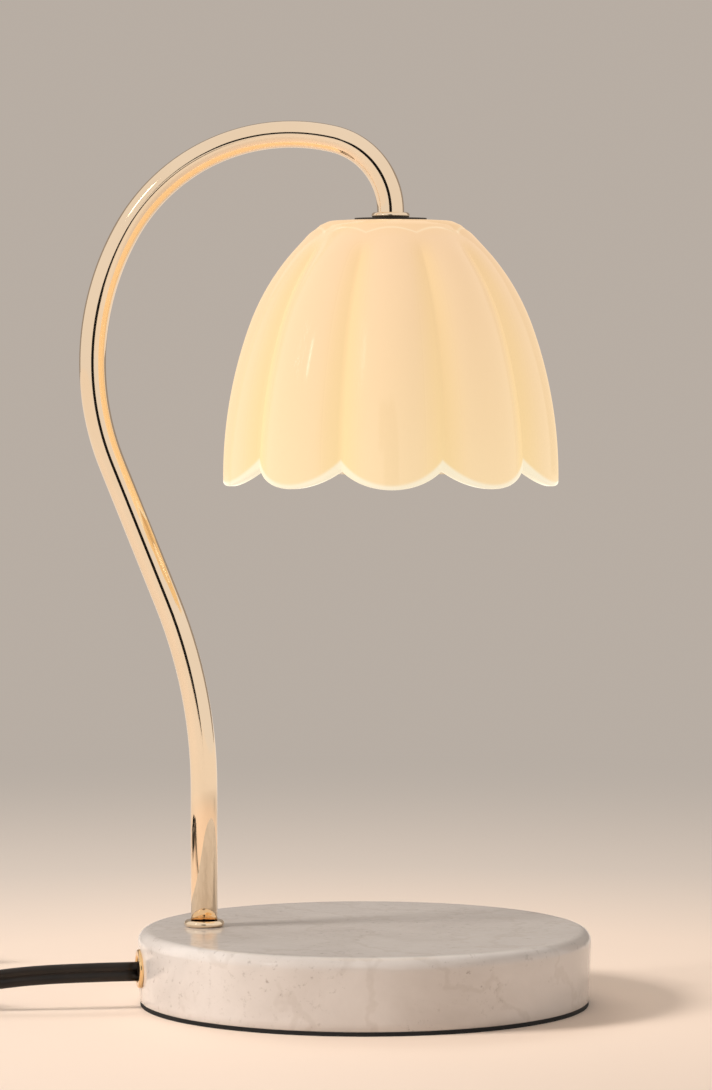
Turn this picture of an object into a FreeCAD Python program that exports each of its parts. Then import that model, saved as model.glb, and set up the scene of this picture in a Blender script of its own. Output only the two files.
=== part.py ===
import FreeCAD, Part
import math
import os
import re

# Candle warmer lamp: a stone base with a bent brass arm that holds a fluted glass shade.
# Millimetres, +Z up. The origin is the middle of the base, on the surface it stands on.
# -Y is the front. The arm rises at the left of the base and comes down over its middle.

doc = FreeCAD.newDocument("candle_warmer_lamp")
sheet = doc.addObject("Spreadsheet::Sheet", "Sizes")

# Driving dimensions, in millimetres and degrees.
DIMENSIONS = {
    # base
    "stone_radius": 85.0,
    "stone_draft": 0.8,
    "stone_thick": 26.5,
    "stone_round": 4.5,
    "pad_thick": 1.5,
    "pad_inset": 0.3,
    "recess_radius": 22.5,
    "recess_depth": 18.5,
    "rim_wall": 10.5,
    "recess_forward": 2.0,
    # arm
    "arm_inset": 24.5,
    "arm_turn": -5.5,
    "tube_radius": 5.0,
    "tube_wall": 1.0,
    "arm_rise": 51.9,
    "lean_radius": 186.5,
    "lean_angle": 22.0,
    "lean_run": 55.9,
    "back_radius": 100.4,
    "back_angle": 51.0,
    "crown_radius": 71.0,
    "crown_angle": 74.0,
    "drop_radius": 27.6,
    "arm_hole_gap": 0.2,
    "fit_gap": 0.05,
    "clear_gap": 0.3,
    # rings, washers and nuts
    "flange_radius": 7.55,
    "flange_thick": 2.4,
    "collar_radius": 7.1,
    "collar_thick": 2.1,
    "collar_drop": 0.4,
    "base_washer_radius": 9.5,
    "base_washer_thick": 1.5,
    "nut_width": 14.0,
    "nut_thick": 4.0,
    "tube_overhang": 1.2,
    "shade_washer_radius": 13.4,
    "top_washer_thick": 0.7,
    "under_washer_thick": 1.2,
    # shade
    "shade_petals": 10,
    "shade_radius": 62.2,
    "petal_crest": 0.026,
    "petal_valley": 0.043,
    "petal_fade": 11.0,
    "petal_reach": 80.0,
    "shade_height": 98.3,
    "shade_straight": 3.3,
    "shade_low_radius": 165.0,
    "shade_low_angle": 19.6,
    "shade_top_radius": 23.6,
    "shade_shoulder": 4.2,
    "glass_wall": 3.3,
    "shade_top_wall": 4.0,
    "hem_radius": 31.0,
    "ring_past_hem": 5.9,
    # lampholder
    "cup_radius": 17.0,
    "cup_wall": 1.0,
    "cup_round": 1.5,
    "cup_height": 30.0,
    "ceramic_height": 16.0,
    "ceramic_proud": 1.0,
    "pin_spacing": 10.0,
    "pin_neck_radius": 1.5,
    "pin_head_radius": 2.5,
    "pin_length": 7.0,
    "pin_head_length": 2.2,
    "face_plate": 4.0,
    "head_room": 4.4,
    "contact_thick": 1.0,
    "twist_angle": 25.0,
    # bulb
    "bulb_radius": 25.0,
    "bulb_length": 53.5,
    "bulb_base_radius": 11.5,
    "bulb_base_length": 17.0,
    "bulb_wall": 1.5,
    "bulb_edge": 1.0,
    "bowl_radius": 20.75,
    "lens_thick": 2.0,
    "lens_inset": 0.5,
    "rim_height": 4.0,
    "capsule_radius": 4.5,
    "capsule_length": 24.0,
    # cord
    "cord_wide": 7.2,
    "cord_thick": 3.6,
    "cord_straight": 20.0,
    "exit_angle": 190.0,
    "exit_sag": 1.0,
    "core_radius": 0.9,
    "core_spacing": 2.6,
    "core_straight": 8.0,
    "core_bow_along": 17.0,
    "core_bow_aside": 9.0,
    "core_bow_back": 11.0,
    "core_bow_drop": 5.0,
    "core_dip": 8.0,
    "core_rise": 6.0,
    "core_spread": 3.5,
    "grommet_radius": 7.25,
    "grommet_proud": 1.6,
    "grommet_tube_radius": 6.0,
    "grommet_hole_radius": 4.7,
    "grommet_length": 9.0,
    "grommet_seat_depth": 0.8,
    "stop_radius": 6.4,
    "stop_length": 7.0,
    "stop_gap": 3.3,
    # dimmer
    "dimmer_length": 74.0,
    "dimmer_taper": 20.0,
    "dimmer_width": 26.0,
    "dimmer_height": 20.0,
    "dimmer_nose": 11.0,
    "dimmer_wall": 2.0,
    "dimmer_round": 2.0,
    "dimmer_x": -197.0,
    "dimmer_y": -24.0,
    "knob_radius": 9.0,
    "knob_height": 6.0,
    "knob_round": 1.5,
    "knob_shaft_radius": 3.0,
    "shaft_depth": 4.5,
    "pot_radius": 8.0,
    "pot_height": 6.5,
    "board_thick": 1.6,
    "board_lift": 1.4,
    "board_gap": 0.5,
    "post_inset": 3.0,
    "post_radius": 1.5,
    "screw_radius": 1.5,
    "screw_head_radius": 2.6,
    "screw_sink": 0.4,
    "screw_length": 13.0,
    "screw_hole_depth": 14.0,
    "screw_from_block": 4.0,
    # coil and plug
    "coil_x": -232.0,
    "coil_y": 40.0,
    "coil_lift": 1.2,
    "coil_radius": 46.0,
    "coil_gap": 0.8,
    "turns_inward": 6,
    "turns_outward": 5,
    "tie_thick": 0.8,
    "tie_gap": 0.5,
    "tie_lift_gap": 0.2,
    "tie_width": 9.0,
    "plug_width": 24.0,
    "plug_thick": 18.0,
    "plug_length": 26.0,
    "plug_taper": 22.0,
    "plug_round": 3.0,
    "relief_wall": 0.8,
    "relief_step": 2.5,
    "relief_overlap": 2.0,
    "blade_root": 5.0,
    "blade_spacing": 12.7,
    "blade_width": 6.35,
    "blade_thick": 1.5,
    "blade_length": 17.0,
}

for row, (name, number) in enumerate(DIMENSIONS.items(), start=1):
    sheet.set("A%d" % row, name)
    sheet.set("B%d" % row, str(number))
    sheet.setAlias("B%d" % row, name)
doc.recompute()


def size(name):
    """The value of one driving dimension, as the sheet holds it."""
    return float(sheet.get(name))


def bound(text):
    """An expression on the sheet, from a text that uses the dimensions' names."""
    def on_sheet(found):
        word = found.group(0)
        return "Sizes." + word if word in DIMENSIONS else word

    return re.sub(r"[a-z][a-z_0-9]*", on_sheet, text)


V = FreeCAD.Vector
UP = V(0, 0, 1)
PARTS = []


def cylinder(name, radius, height, bottom="0", across=(0.0, 0.0)):
    """An upright cylinder with its sizes bound to the sheet."""
    made = doc.addObject("Part::Cylinder", name)
    made.setExpression("Radius", bound(radius))
    made.setExpression("Height", bound(height))
    made.Placement.Base = V(across[0], across[1], 0)
    made.setExpression("Placement.Base.z", bound(bottom))
    return made


def cut(name, base, *tools):
    """The base with each tool taken away."""
    made = base
    for number, tool in enumerate(tools, start=1):
        step_name = name if number == len(tools) else "%s_step%d" % (name, number)
        step = doc.addObject("Part::Cut", step_name)
        step.Base = made
        step.Tool = tool
        made = step
    return made


def fuse(name, *shapes):
    made = doc.addObject("Part::MultiFuse", name)
    made.Shapes = list(shapes)
    return made


def solid(name, shape):
    """A sub-part whose shape is worked out from the sheet by the functions below."""
    made = doc.addObject("Part::Feature", name)
    made.Shape = shape
    return made


def keep(made, label, placement=None):
    """Name a finished sub-part, put it in its place and list it for writing."""
    made.Label = label
    if placement is not None:
        made.Placement = placement.multiply(made.Placement)
    PARTS.append(made)
    return made


def rounded(name, base, radius, *edges):
    """A fillet of one radius on the given edges of a base."""
    made = doc.addObject("Part::Fillet", name)
    doc.recompute()
    made.Base = base
    made.Edges = [(edge, radius, radius) for edge in edges]
    return made


def circles_at(shape, z, radius):
    """The numbers of the round edges of a shape at one height and radius."""
    found = []
    for number, edge in enumerate(shape.Edges, start=1):
        if not isinstance(edge.Curve, Part.Circle):
            continue
        if abs(edge.Curve.Center.z - z) < 0.01 and abs(edge.Curve.Radius - radius) < 0.01:
            found.append(number)
    return found


# Places that several sub-parts share.
stone_low = size("pad_thick")
stone_top = stone_low + size("stone_thick")
recess_top = stone_low + size("recess_depth")
turn = math.radians(size("arm_turn"))
arm_way = V(math.cos(turn), math.sin(turn), 0)
arm_foot = arm_way * (size("arm_inset") - size("stone_radius"))
arm_place = FreeCAD.Placement(arm_foot, FreeCAD.Rotation(UP, size("arm_turn")))
recess_from_middle = size("stone_radius") - size("rim_wall") - size("recess_radius")
recess_middle = V(-recess_from_middle, -size("recess_forward"), 0)

# The arm's centreline, in the upright plane of the arm: straight up, leaning back, over and down.
tube_low = recess_top - size("base_washer_thick") - size("nut_thick") - size("tube_overhang")


def arm_steps():
    """Straight runs and arcs of the centreline as (kind, length or radius, turn in degrees)."""
    over = 180 + size("lean_angle") - size("back_angle") - size("crown_angle")
    return [
        ("run", stone_top - tube_low + size("arm_rise"), 0),
        ("arc", size("lean_radius"), -size("lean_angle")),
        ("run", size("lean_run"), 0),
        ("arc", size("back_radius"), size("back_angle")),
        ("arc", size("crown_radius"), size("crown_angle")),
        ("arc", size("drop_radius"), over),
    ]


def follow(steps, start, lift=0.0):
    """Edges along runs and arcs that start upright at a point; lift moves them sideways."""
    edges = []
    here = start
    heading = 0.0
    for kind, amount, degrees in steps:
        ahead = V(math.sin(heading), 0, math.cos(heading))
        if kind == "run":
            there = here + ahead * amount
            edges.append(Part.LineSegment(here, there))
        else:
            side = math.copysign(1, degrees)
            centre = here + V(math.cos(heading), 0, -math.sin(heading)) * (side * amount)
            spots = []
            for share in (0.5, 1.0):
                angle = heading + math.radians(degrees) * share
                spots.append(centre - V(math.cos(angle), 0, -math.sin(angle)) * (side * amount))
            edges.append(Part.Arc(here, spots[0], spots[1]))
            there = spots[1]
            heading += math.radians(degrees)
        here = there
    return edges, here


arm_edges, arm_end = follow(arm_steps(), V(0, 0, tube_low))
reach = arm_end.x
collar_top = arm_end.z - size("collar_drop")
shade_top = collar_top - size("collar_thick") - size("top_washer_thick")
glass_under = shade_top - size("shade_top_wall")
cup_top = glass_under - size("under_washer_thick") - size("nut_thick")
tube_end = cup_top - size("cup_wall") - size("nut_thick") - size("tube_overhang")
cup_low = cup_top - size("cup_height")
holder_face = cup_low - size("ceramic_proud")
head_place = arm_place.multiply(FreeCAD.Placement(V(reach, 0, 0), FreeCAD.Rotation()))
print("arm reach %.2f mm, top of the arm %.1f mm, shade top %.2f mm" %
      (reach, max(e.toShape().BoundBox.ZMax for e in arm_edges) + size("tube_radius"), shade_top))


# Stone base: a turned disc with a rounded top edge, hollowed from below for the wiring.
def make_stone():
    blank = doc.addObject("Part::Cone", "stone_blank")
    blank.setExpression("Radius1", bound("stone_radius - stone_draft"))
    blank.setExpression("Radius2", bound("stone_radius"))
    blank.setExpression("Height", bound("stone_thick"))
    blank.setExpression("Placement.Base.z", bound("pad_thick"))
    doc.recompute()
    top_edge = circles_at(blank.Shape, stone_top, size("stone_radius"))
    soft = rounded("stone_soft", blank, size("stone_round"), *top_edge)
    hole_radius = "tube_radius + arm_hole_gap"
    arm_hole = cylinder("stone_arm_hole", hole_radius, "stone_thick", "pad_thick", (arm_foot.x, arm_foot.y))
    recess_spot = (recess_middle.x, recess_middle.y)
    recess = cylinder("stone_recess", "recess_radius", "recess_depth", "pad_thick", recess_spot)
    bore = side_bore("stone_bore", "grommet_tube_radius + fit_gap", "rim_wall + recess_radius")
    seat = side_bore("stone_seat", "grommet_radius + fit_gap", "grommet_seat_depth")
    keep(cut("base_stone", soft, arm_hole, recess, bore, seat), "base_stone")


exit_angle = math.radians(size("exit_angle"))
exit_way = V(math.cos(exit_angle), math.sin(exit_angle), 0)
exit_turn = FreeCAD.Rotation(V(0, 0, 1), exit_way)
exit_height = stone_low + size("stone_thick") / 2
seat_from_middle = size("stone_radius") - size("grommet_seat_depth")


def side_bore(name, radius, depth):
    """A level cylinder that runs inwards from the base's rim, at the cord's exit."""
    made = doc.addObject("Part::Cylinder", name)
    made.setExpression("Radius", bound(radius))
    made.setExpression("Height", bound(depth))
    start = exit_way * size("stone_radius") + UP * exit_height
    made.Placement = FreeCAD.Placement(start, FreeCAD.Rotation(V(0, 0, 1), exit_way * -1))
    return made


make_stone()
keep(cylinder("base_pad", "stone_radius - stone_draft - pad_inset", "pad_thick"), "base_pad")


# A ring with a half-round outer edge, like the arm's foot flange and the shade's collar.
def round_ring(name, radius, thick, bottom):
    tyre = doc.addObject("Part::Torus", name + "_tyre")
    tyre.setExpression("Radius1", bound("%s - %s / 2" % (radius, thick)))
    tyre.setExpression("Radius2", bound("%s / 2" % thick))
    tyre.Placement.Base = V(0, 0, bottom + size(thick) / 2)
    disc = cylinder(name + "_disc", "%s - %s / 2" % (radius, thick), thick, repr(bottom))
    hole = cylinder(name + "_hole", "tube_radius + fit_gap", thick, repr(bottom))
    return cut(name, fuse(name + "_blank", tyre, disc), hole)


def flat_ring(name, radius, thick, bottom):
    """A plain washer for the arm tube."""
    disc = cylinder(name + "_disc", radius, thick, repr(bottom))
    hole = cylinder(name + "_hole", "tube_radius + fit_gap", thick, repr(bottom))
    return cut(name, disc, hole)


def hex_nut(name, bottom):
    """A thin hexagon nut for the arm tube's thread."""
    blank = doc.addObject("Part::Prism", name + "_blank")
    blank.Polygon = 6
    blank.setExpression("Circumradius", bound("nut_width / 2 / cos(30deg)"))
    blank.setExpression("Height", bound("nut_thick"))
    blank.setExpression("Placement.Base.z", repr(bottom))
    hole = cylinder(name + "_hole", "tube_radius + fit_gap", "nut_thick", repr(bottom))
    return cut(name, blank, hole)


def foot(made, label):
    keep(made, label, arm_place)


def head(made, label):
    keep(made, label, head_place)


foot(round_ring("arm_flange", "flange_radius", "flange_thick", stone_top), "arm_flange")
washer_low = recess_top - size("base_washer_thick")
foot(flat_ring("base_washer", "base_washer_radius", "base_washer_thick", washer_low), "base_washer")
foot(hex_nut("base_nut", washer_low - size("nut_thick")), "base_nut")


# Arm: one bent tube, open through its length for the cores of the cord.
def make_arm():
    body = doc.addObject("PartDesign::Body", "arm_tube")
    planes = {feature.Role: feature for feature in body.Origin.OriginFeatures}
    line = body.newObject("Sketcher::SketchObject", "arm_centreline")
    line.AttachmentSupport = [(planes["XZ_Plane"], "")]
    line.MapMode = "FlatFace"
    ring = body.newObject("Sketcher::SketchObject", "arm_ring")
    ring.AttachmentSupport = [(planes["XY_Plane"], "")]
    ring.MapMode = "FlatFace"
    ring.AttachmentOffset = FreeCAD.Placement(V(0, 0, tube_low), FreeCAD.Rotation())
    steps = arm_steps() + [("run", arm_end.z - tube_end, 0)]
    edges, _ = follow(steps, V(0, 0, tube_low))
    for edge in edges:
        shape = edge.toShape()
        flat = shape.transformed(FreeCAD.Placement(V(), FreeCAD.Rotation(V(1, 0, 0), -90)).toMatrix())
        line.addGeometry(sketch_curve(flat.Edges[0]))
    for radius in ("tube_radius", "tube_radius - tube_wall"):
        number = ring.addGeometry(Part.Circle(V(), UP, 1.0))
        rule = ring.addConstraint(sketch_radius(number))
        ring.setExpression("Constraints[%d]" % rule, bound(radius))
    pipe = body.newObject("PartDesign::AdditivePipe", "arm_pipe")
    pipe.Profile = ring
    pipe.Spine = (line, ["Edge%d" % (i + 1) for i in range(len(edges))])
    body.Tip = pipe
    foot(body, "arm_tube")


def sketch_curve(edge):
    if isinstance(edge.Curve, Part.Line):
        return Part.LineSegment(edge.Vertexes[0].Point, edge.Vertexes[1].Point)
    first, last = edge.ParameterRange
    return Part.Arc(edge.valueAt(first), edge.valueAt((first + last) / 2), edge.valueAt(last))


def sketch_radius(number):
    import Sketcher
    return Sketcher.Constraint("Radius", number, 1.0)


make_arm()


def turned(name, outline):
    """A body turned about Z from a closed outline of (radius, height) points.

    A point given as (radius, height, radius, height) is an arc: a point on it, then its end.
    """
    body = doc.addObject("PartDesign::Body", name)
    plane = [feature for feature in body.Origin.OriginFeatures if feature.Role == "XZ_Plane"][0]
    sketch = body.newObject("Sketcher::SketchObject", name + "_outline")
    sketch.AttachmentSupport = [(plane, "")]
    sketch.MapMode = "FlatFace"
    here = V(outline[-1][-2], outline[-1][-1], 0)
    for point in outline:
        there = V(point[-2], point[-1], 0)
        if len(point) == 4:
            sketch.addGeometry(Part.Arc(here, V(point[0], point[1], 0), there))
        else:
            sketch.addGeometry(Part.LineSegment(here, there))
        here = there
    doc.recompute()
    spin = body.newObject("PartDesign::Revolution", name + "_turning")
    spin.Profile = sketch
    spin.ReferenceAxis = (sketch, ["V_Axis"])
    spin.Angle = 360
    body.Tip = spin
    return body


# Head of the arm: collar and washer above the glass, washer and nut below it.
collar_low = shade_top + size("top_washer_thick")
head(round_ring("shade_collar", "collar_radius", "collar_thick", collar_low), "shade_collar")
head(flat_ring("shade_washer", "shade_washer_radius", "top_washer_thick", shade_top), "shade_washer")
under_low = glass_under - size("under_washer_thick")
head(flat_ring("shade_seal", "shade_washer_radius", "under_washer_thick", under_low), "shade_seal")
head(hex_nut("shade_nut", cup_top), "shade_nut")


# Shade: opal glass with ten petals. Its outline is two arcs that run into a short straight hem.
def shade_radius_at(down):
    """The mean outer radius of the glass at a depth below its flat top."""
    straight_from = size("shade_height") - size("shade_straight")
    if down >= straight_from:
        return size("shade_radius")
    low = size("shade_low_radius")
    bend = math.radians(size("shade_low_angle"))
    low_x = size("shade_radius") - low
    join = straight_from - low * math.sin(bend)
    if down >= join:
        return low_x + math.sqrt(low ** 2 - (straight_from - down) ** 2)
    # The upper arc leaves the lower one without a corner and ends at the rim of the flat top.
    out = V(math.cos(bend), -math.sin(bend), 0)
    joint = V(low_x + low * math.cos(bend), join, 0)
    to_top = V(size("shade_top_radius"), 0, 0) - joint
    high = -to_top.dot(to_top) / (2 * to_top.dot(out))
    centre = joint - out * high
    return centre.x + math.sqrt(high ** 2 - (centre.y - down) ** 2)


def petal_share(down):
    """How far the petals stand out at a depth: none on the shoulder, full below it."""
    share = (down - size("shade_shoulder")) / size("petal_fade")
    share = min(max(share, 0.0), 1.0)
    return share * share * (3 - 2 * share)


def petal_angles():
    """The direction of each petal's middle; the first one faces the front."""
    count = int(size("shade_petals"))
    return [petal * 2 * math.pi / count - math.pi / 2 for petal in range(count)]


def ring_depths(first, last):
    """Depths of the rings that the glass is drawn through, closer together near the top."""
    rings = 11
    crowding = 1.25
    return [first + (last - first) * (number / rings) ** crowding for number in range(rings + 1)]


def shade_ring(down, inset):
    """A closed ring of one arc for each petal, at a depth below the top."""
    mean = shade_radius_at(down)
    share = petal_share(down)
    crest = mean * (1 + size("petal_crest") * share) - inset
    valley = mean * (1 - size("petal_valley") * share) - inset
    count = int(size("shade_petals"))
    half_step = math.pi / count
    edges = []
    for middle in petal_angles():
        spots = []
        for side, radius in ((-1, valley), (0, crest), (1, valley)):
            angle = middle + side * half_step
            spots.append(V(radius * math.cos(angle), radius * math.sin(angle), -down))
        edges.append(Part.Arc(*spots).toShape())
    return Part.Wire(edges)


def make_shade():
    height = size("shade_height")
    top_wall = size("shade_top_wall")
    past_hem = height + size("ring_past_hem")
    outer = Part.makeLoft([shade_ring(depth, 0) for depth in ring_depths(0, past_hem)], True, False)
    inner_rings = [shade_ring(depth, size("glass_wall")) for depth in ring_depths(top_wall, past_hem)]
    inner = Part.makeLoft(inner_rings, True, False)
    way_radius = size("tube_radius") + size("fit_gap")
    tube_way = Part.makeCylinder(way_radius, 2 * top_wall, V(0, 0, -1.5 * top_wall))
    shell = outer.cut([inner, tube_way])
    # Each petal ends in a round lobe: it is what lies inside a cylinder laid along the petal's middle.
    lobe = size("hem_radius")
    reach_out = size("petal_reach")
    keepers = [Part.makeCylinder(reach_out, height - lobe / 2, V(0, 0, lobe / 2 - height))]
    for angle in petal_angles():
        way = V(math.cos(angle), math.sin(angle), 0)
        keepers.append(Part.makeCylinder(lobe, reach_out - lobe, way * lobe + UP * (lobe - height), way))
    shell = shell.common(keepers[0].fuse(keepers[1:]))
    if len(shell.Solids) == 1:
        shell = shell.Solids[0]
    made = solid("shade", shell)
    print("shade volume %.0f mm3, valid %s, solids %d" % (shell.Volume, shell.isValid(), len(shell.Solids)))
    made.Placement = FreeCAD.Placement(V(0, 0, shade_top), FreeCAD.Rotation(UP, -size("arm_turn")))
    head(made, "shade")


make_shade()

# Lampholder: a metal cup screwed up against the nut, with a ceramic socket cemented into it.
cup_radius = size("cup_radius")
cup_inner = cup_radius - size("cup_wall")
cup_round = size("cup_round")
tube_hole = size("tube_radius") + size("fit_gap")


def quarter(radius, height, round_by):
    """The arc that rounds an outer top edge, as the turned outlines want it."""
    inset = round_by * (1 - math.sqrt(0.5))
    return (radius - inset, height - inset, radius, height - round_by)


head(turned("holder_cup", [
    (tube_hole, cup_top), (cup_radius - cup_round, cup_top), quarter(cup_radius, cup_top, cup_round),
    (cup_radius, cup_low), (cup_inner, cup_low), (cup_inner, cup_top - size("cup_wall")),
    (tube_hole, cup_top - size("cup_wall"))]), "holder_cup")
head(hex_nut("holder_nut", cup_top - size("cup_wall") - size("nut_thick")), "holder_nut")

pin_from_middle = size("pin_spacing") / 2
pin_angles = (90, 270)
slot_floor = size("face_plate")
slot_roof = slot_floor + size("head_room")


def at_pin(angle):
    turned_to = math.radians(angle)
    return (pin_from_middle * math.cos(turned_to), pin_from_middle * math.sin(turned_to))


def swept_slot(name, half_width, low, height, angle):
    """A curved slot from a pin's locked place to its entry, round the holder's middle."""
    pieces = []
    for side, sign in (("outer", "+"), ("inner", "-")):
        wedge = cylinder("%s_%s" % (name, side), "pin_spacing / 2 %s %s" % (sign, half_width), height)
        wedge.setExpression("Angle", bound("twist_angle"))
        wedge.Placement = FreeCAD.Placement(V(0, 0, low), FreeCAD.Rotation(UP, angle - size("twist_angle")))
        wedge.setExpression("Placement.Base.z", repr(low))
        pieces.append(wedge)
    arc = cut(name + "_arc", *pieces)
    ends = []
    for number, turned_by in enumerate((0, size("twist_angle"))):
        end_name = "%s_end%d" % (name, number)
        ends.append(cylinder(end_name, half_width, height, repr(low), at_pin(angle - turned_by)))
    return fuse(name, arc, *ends)


def make_ceramic():
    blank_radius = "cup_radius - cup_wall - fit_gap"
    blank = cylinder("ceramic_blank", blank_radius, "ceramic_height", repr(holder_face))
    neck = "(pin_neck_radius + clear_gap)"
    pin_head = "(pin_head_radius + clear_gap)"
    above = "ceramic_height - face_plate - head_room"
    floor_z = holder_face + slot_floor
    roof = repr(holder_face + slot_roof)
    tools = []
    for angle in pin_angles:
        entry = at_pin(angle - size("twist_angle"))
        tools.append(swept_slot("neck_slot%d" % angle, neck, holder_face, "face_plate", angle))
        tools.append(swept_slot("head_slot%d" % angle, pin_head, floor_z, "head_room", angle))
        tools.append(cylinder("entry%d" % angle, pin_head, "face_plate", repr(holder_face), entry))
        tools.append(cylinder("core_hole%d" % angle, "core_radius + fit_gap", above, roof, at_pin(angle)))
    head(cut("holder_ceramic", blank, *tools), "holder_ceramic")


make_ceramic()
contacts = []
for angle in pin_angles:
    contact_low = repr(holder_face + slot_roof - size("contact_thick"))
    spot = at_pin(angle)
    contacts.append(cylinder("contact%d" % angle, "pin_head_radius", "contact_thick", contact_low, spot))
head(fuse("holder_contacts", *contacts), "holder_contacts")

# Bulb: a reflector lamp with two headed pins that twist into the socket.
bulb_top = holder_face - size("clear_gap")
bulb_front = bulb_top - size("bulb_length")
base_low = bulb_top - size("bulb_base_length")
base_radius = size("bulb_base_radius")
bulb_radius = size("bulb_radius")
wall = size("bulb_wall")
edge = size("bulb_edge")
head(turned("bulb_base", [
    (0, bulb_top), (base_radius - edge, bulb_top), (base_radius, bulb_top - edge), (base_radius, base_low),
    (0, base_low)]), "bulb_base")
rim_top = bulb_front + size("rim_height")
bowl = size("bowl_radius")
bowl_z = (rim_top + base_low) / 2
capsule_way = size("capsule_radius") + size("fit_gap")
head(turned("bulb_reflector", [
    (base_radius, base_low), (bowl, bowl_z, bulb_radius, rim_top), (bulb_radius, bulb_front),
    (bulb_radius - wall, bulb_front), (bulb_radius - wall, rim_top),
    (bowl - wall, bowl_z - wall / 3, base_radius - wall, base_low - wall),
    (capsule_way, base_low - wall), (capsule_way, base_low)]), "bulb_reflector")
lens_low = repr(bulb_front + size("lens_inset"))
head(cylinder("bulb_lens", "bulb_radius - bulb_wall - fit_gap", "lens_thick", lens_low), "bulb_lens")
tip = size("capsule_radius")
capsule_low = base_low - size("capsule_length")
head(turned("bulb_capsule", [
    (0, base_low), (tip, base_low), (tip, capsule_low + tip),
    (tip * math.sqrt(0.5), capsule_low + tip * (1 - math.sqrt(0.5)), 0, capsule_low)]), "bulb_capsule")
pins = []
for angle in pin_angles:
    neck = cylinder("pin_neck%d" % angle, "pin_neck_radius", "pin_length", repr(bulb_top), at_pin(angle))
    head_low = bulb_top + size("pin_length") - size("pin_head_length")
    cap_low = repr(head_low)
    cap = cylinder("pin_head%d" % angle, "pin_head_radius", "pin_head_length", cap_low, at_pin(angle))
    pins.append(fuse("pin%d" % angle, neck, cap))
head(fuse("bulb_pins", *pins), "bulb_pins")

# Cord: a flat twin lead. Its wide side stands upright along its whole free length.
cord_wide = size("cord_wide")
cord_thick = size("cord_thick")


def corner_path(points, name):
    """Straight runs joined by tangent arcs, each as large as its two runs allow."""
    edges = []
    here = points[0]
    radii = []
    for before, corner, after in zip(points, points[1:], points[2:]):
        back, ahead = before - corner, after - corner
        half = (math.pi - back.getAngle(ahead)) / 2
        trim = 0.45 * min(back.Length, ahead.Length)
        radius = trim / math.tan(half)
        back.normalize()
        ahead.normalize()
        first, last = corner + back * trim, corner + ahead * trim
        toward = back + ahead
        toward.normalize()
        middle = corner + toward * (radius / math.cos(half) - radius)
        edges.append(Part.LineSegment(here, first).toShape())
        edges.append(Part.Arc(first, middle, last).toShape())
        radii.append(radius)
        here = last
    edges.append(Part.LineSegment(here, points[-1]).toShape())
    print("%s: length %.1f mm, radii %s mm" %
          (name, sum(edge.Length for edge in edges), ", ".join("%.0f" % radius for radius in radii)))
    return edges


def flat_section(start, ahead):
    """The cord's section at a point: two parallel sides and two half-round edges."""
    across = ahead.cross(UP)
    across.normalize()
    half = cord_thick / 2
    rise = cord_wide / 2 - half
    side, top = across * half, UP * rise
    corners = [start + side + top, start - side + top, start - side - top, start + side - top]
    lines = [
        Part.Arc(corners[0], start + UP * (rise + half), corners[1]),
        Part.LineSegment(corners[1], corners[2]),
        Part.Arc(corners[2], start - UP * (rise + half), corners[3]),
        Part.LineSegment(corners[3], corners[0]),
    ]
    return Part.Wire([line.toShape() for line in lines])


def flat_cord(name, edges):
    """The flat cord swept along edges, with its wide side kept upright."""
    path = Part.Wire(edges)
    start = edges[0].valueAt(edges[0].FirstParameter)
    ahead = edges[0].tangentAt(edges[0].FirstParameter)
    sweep = Part.BRepOffsetAPI.MakePipeShell(path)
    sweep.setBiNormalMode(UP)
    sweep.add(flat_section(start, ahead))
    sweep.build()
    sweep.makeSolid()
    shape = sweep.shape()
    half = cord_thick / 2
    area = math.pi * half ** 2 + cord_thick * (cord_wide - cord_thick)
    print("%s: volume is %.4f of section times length" % (name, shape.Volume / (area * path.Length)))
    return keep(solid(name, shape), name)


exit_from_middle = seat_from_middle + size("grommet_proud")
cord_height = exit_height - size("exit_sag")
recess_aside = recess_middle.cross(exit_way).Length
recess_wall = math.sqrt(size("recess_radius") ** 2 - recess_aside ** 2) + recess_middle.dot(exit_way)
stop_outer = recess_wall - size("stop_gap")
stop_inner = stop_outer - size("stop_length")
cord_exit = exit_way * exit_from_middle + UP * cord_height
inner_end = exit_way * (stop_inner - size("stop_gap") / 3) + UP * cord_height
inner = flat_cord("cord_inner", [Part.LineSegment(inner_end, cord_exit).toShape()])


# Grommet and stop: both turned about the cord's exit and laid level.
def at_exit(made, label, inset):
    made.Placement = FreeCAD.Placement(exit_way * inset + UP * exit_height, exit_turn)
    keep(made, label)


seat = size("grommet_proud")
ring_out, ring_in = size("grommet_radius"), size("grommet_hole_radius")
at_exit(turned("cord_grommet", [
    (ring_in, -size("grommet_length")), (size("grommet_tube_radius"), -size("grommet_length")),
    (size("grommet_tube_radius"), 0), (ring_out, 0), (ring_out, seat * 0.4),
    (ring_out - seat * 0.25, seat * 0.85, ring_out - seat * 0.8, seat), (ring_in + seat * 0.6, seat),
    (ring_in + seat * 0.15, seat * 0.8, ring_in, seat * 0.4)]), "cord_grommet", seat_from_middle)
stop_blank = cylinder("stop_blank", "stop_radius", "stop_length")
stop_blank.Placement = FreeCAD.Placement(exit_way * stop_inner + UP * cord_height, exit_turn)
stop_blank.setExpression("Placement.Base.z", None)
stop_core = solid("stop_core", inner.Shape.copy())
keep(cut("cord_stop", stop_blank, stop_core), "cord_stop")


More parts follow.
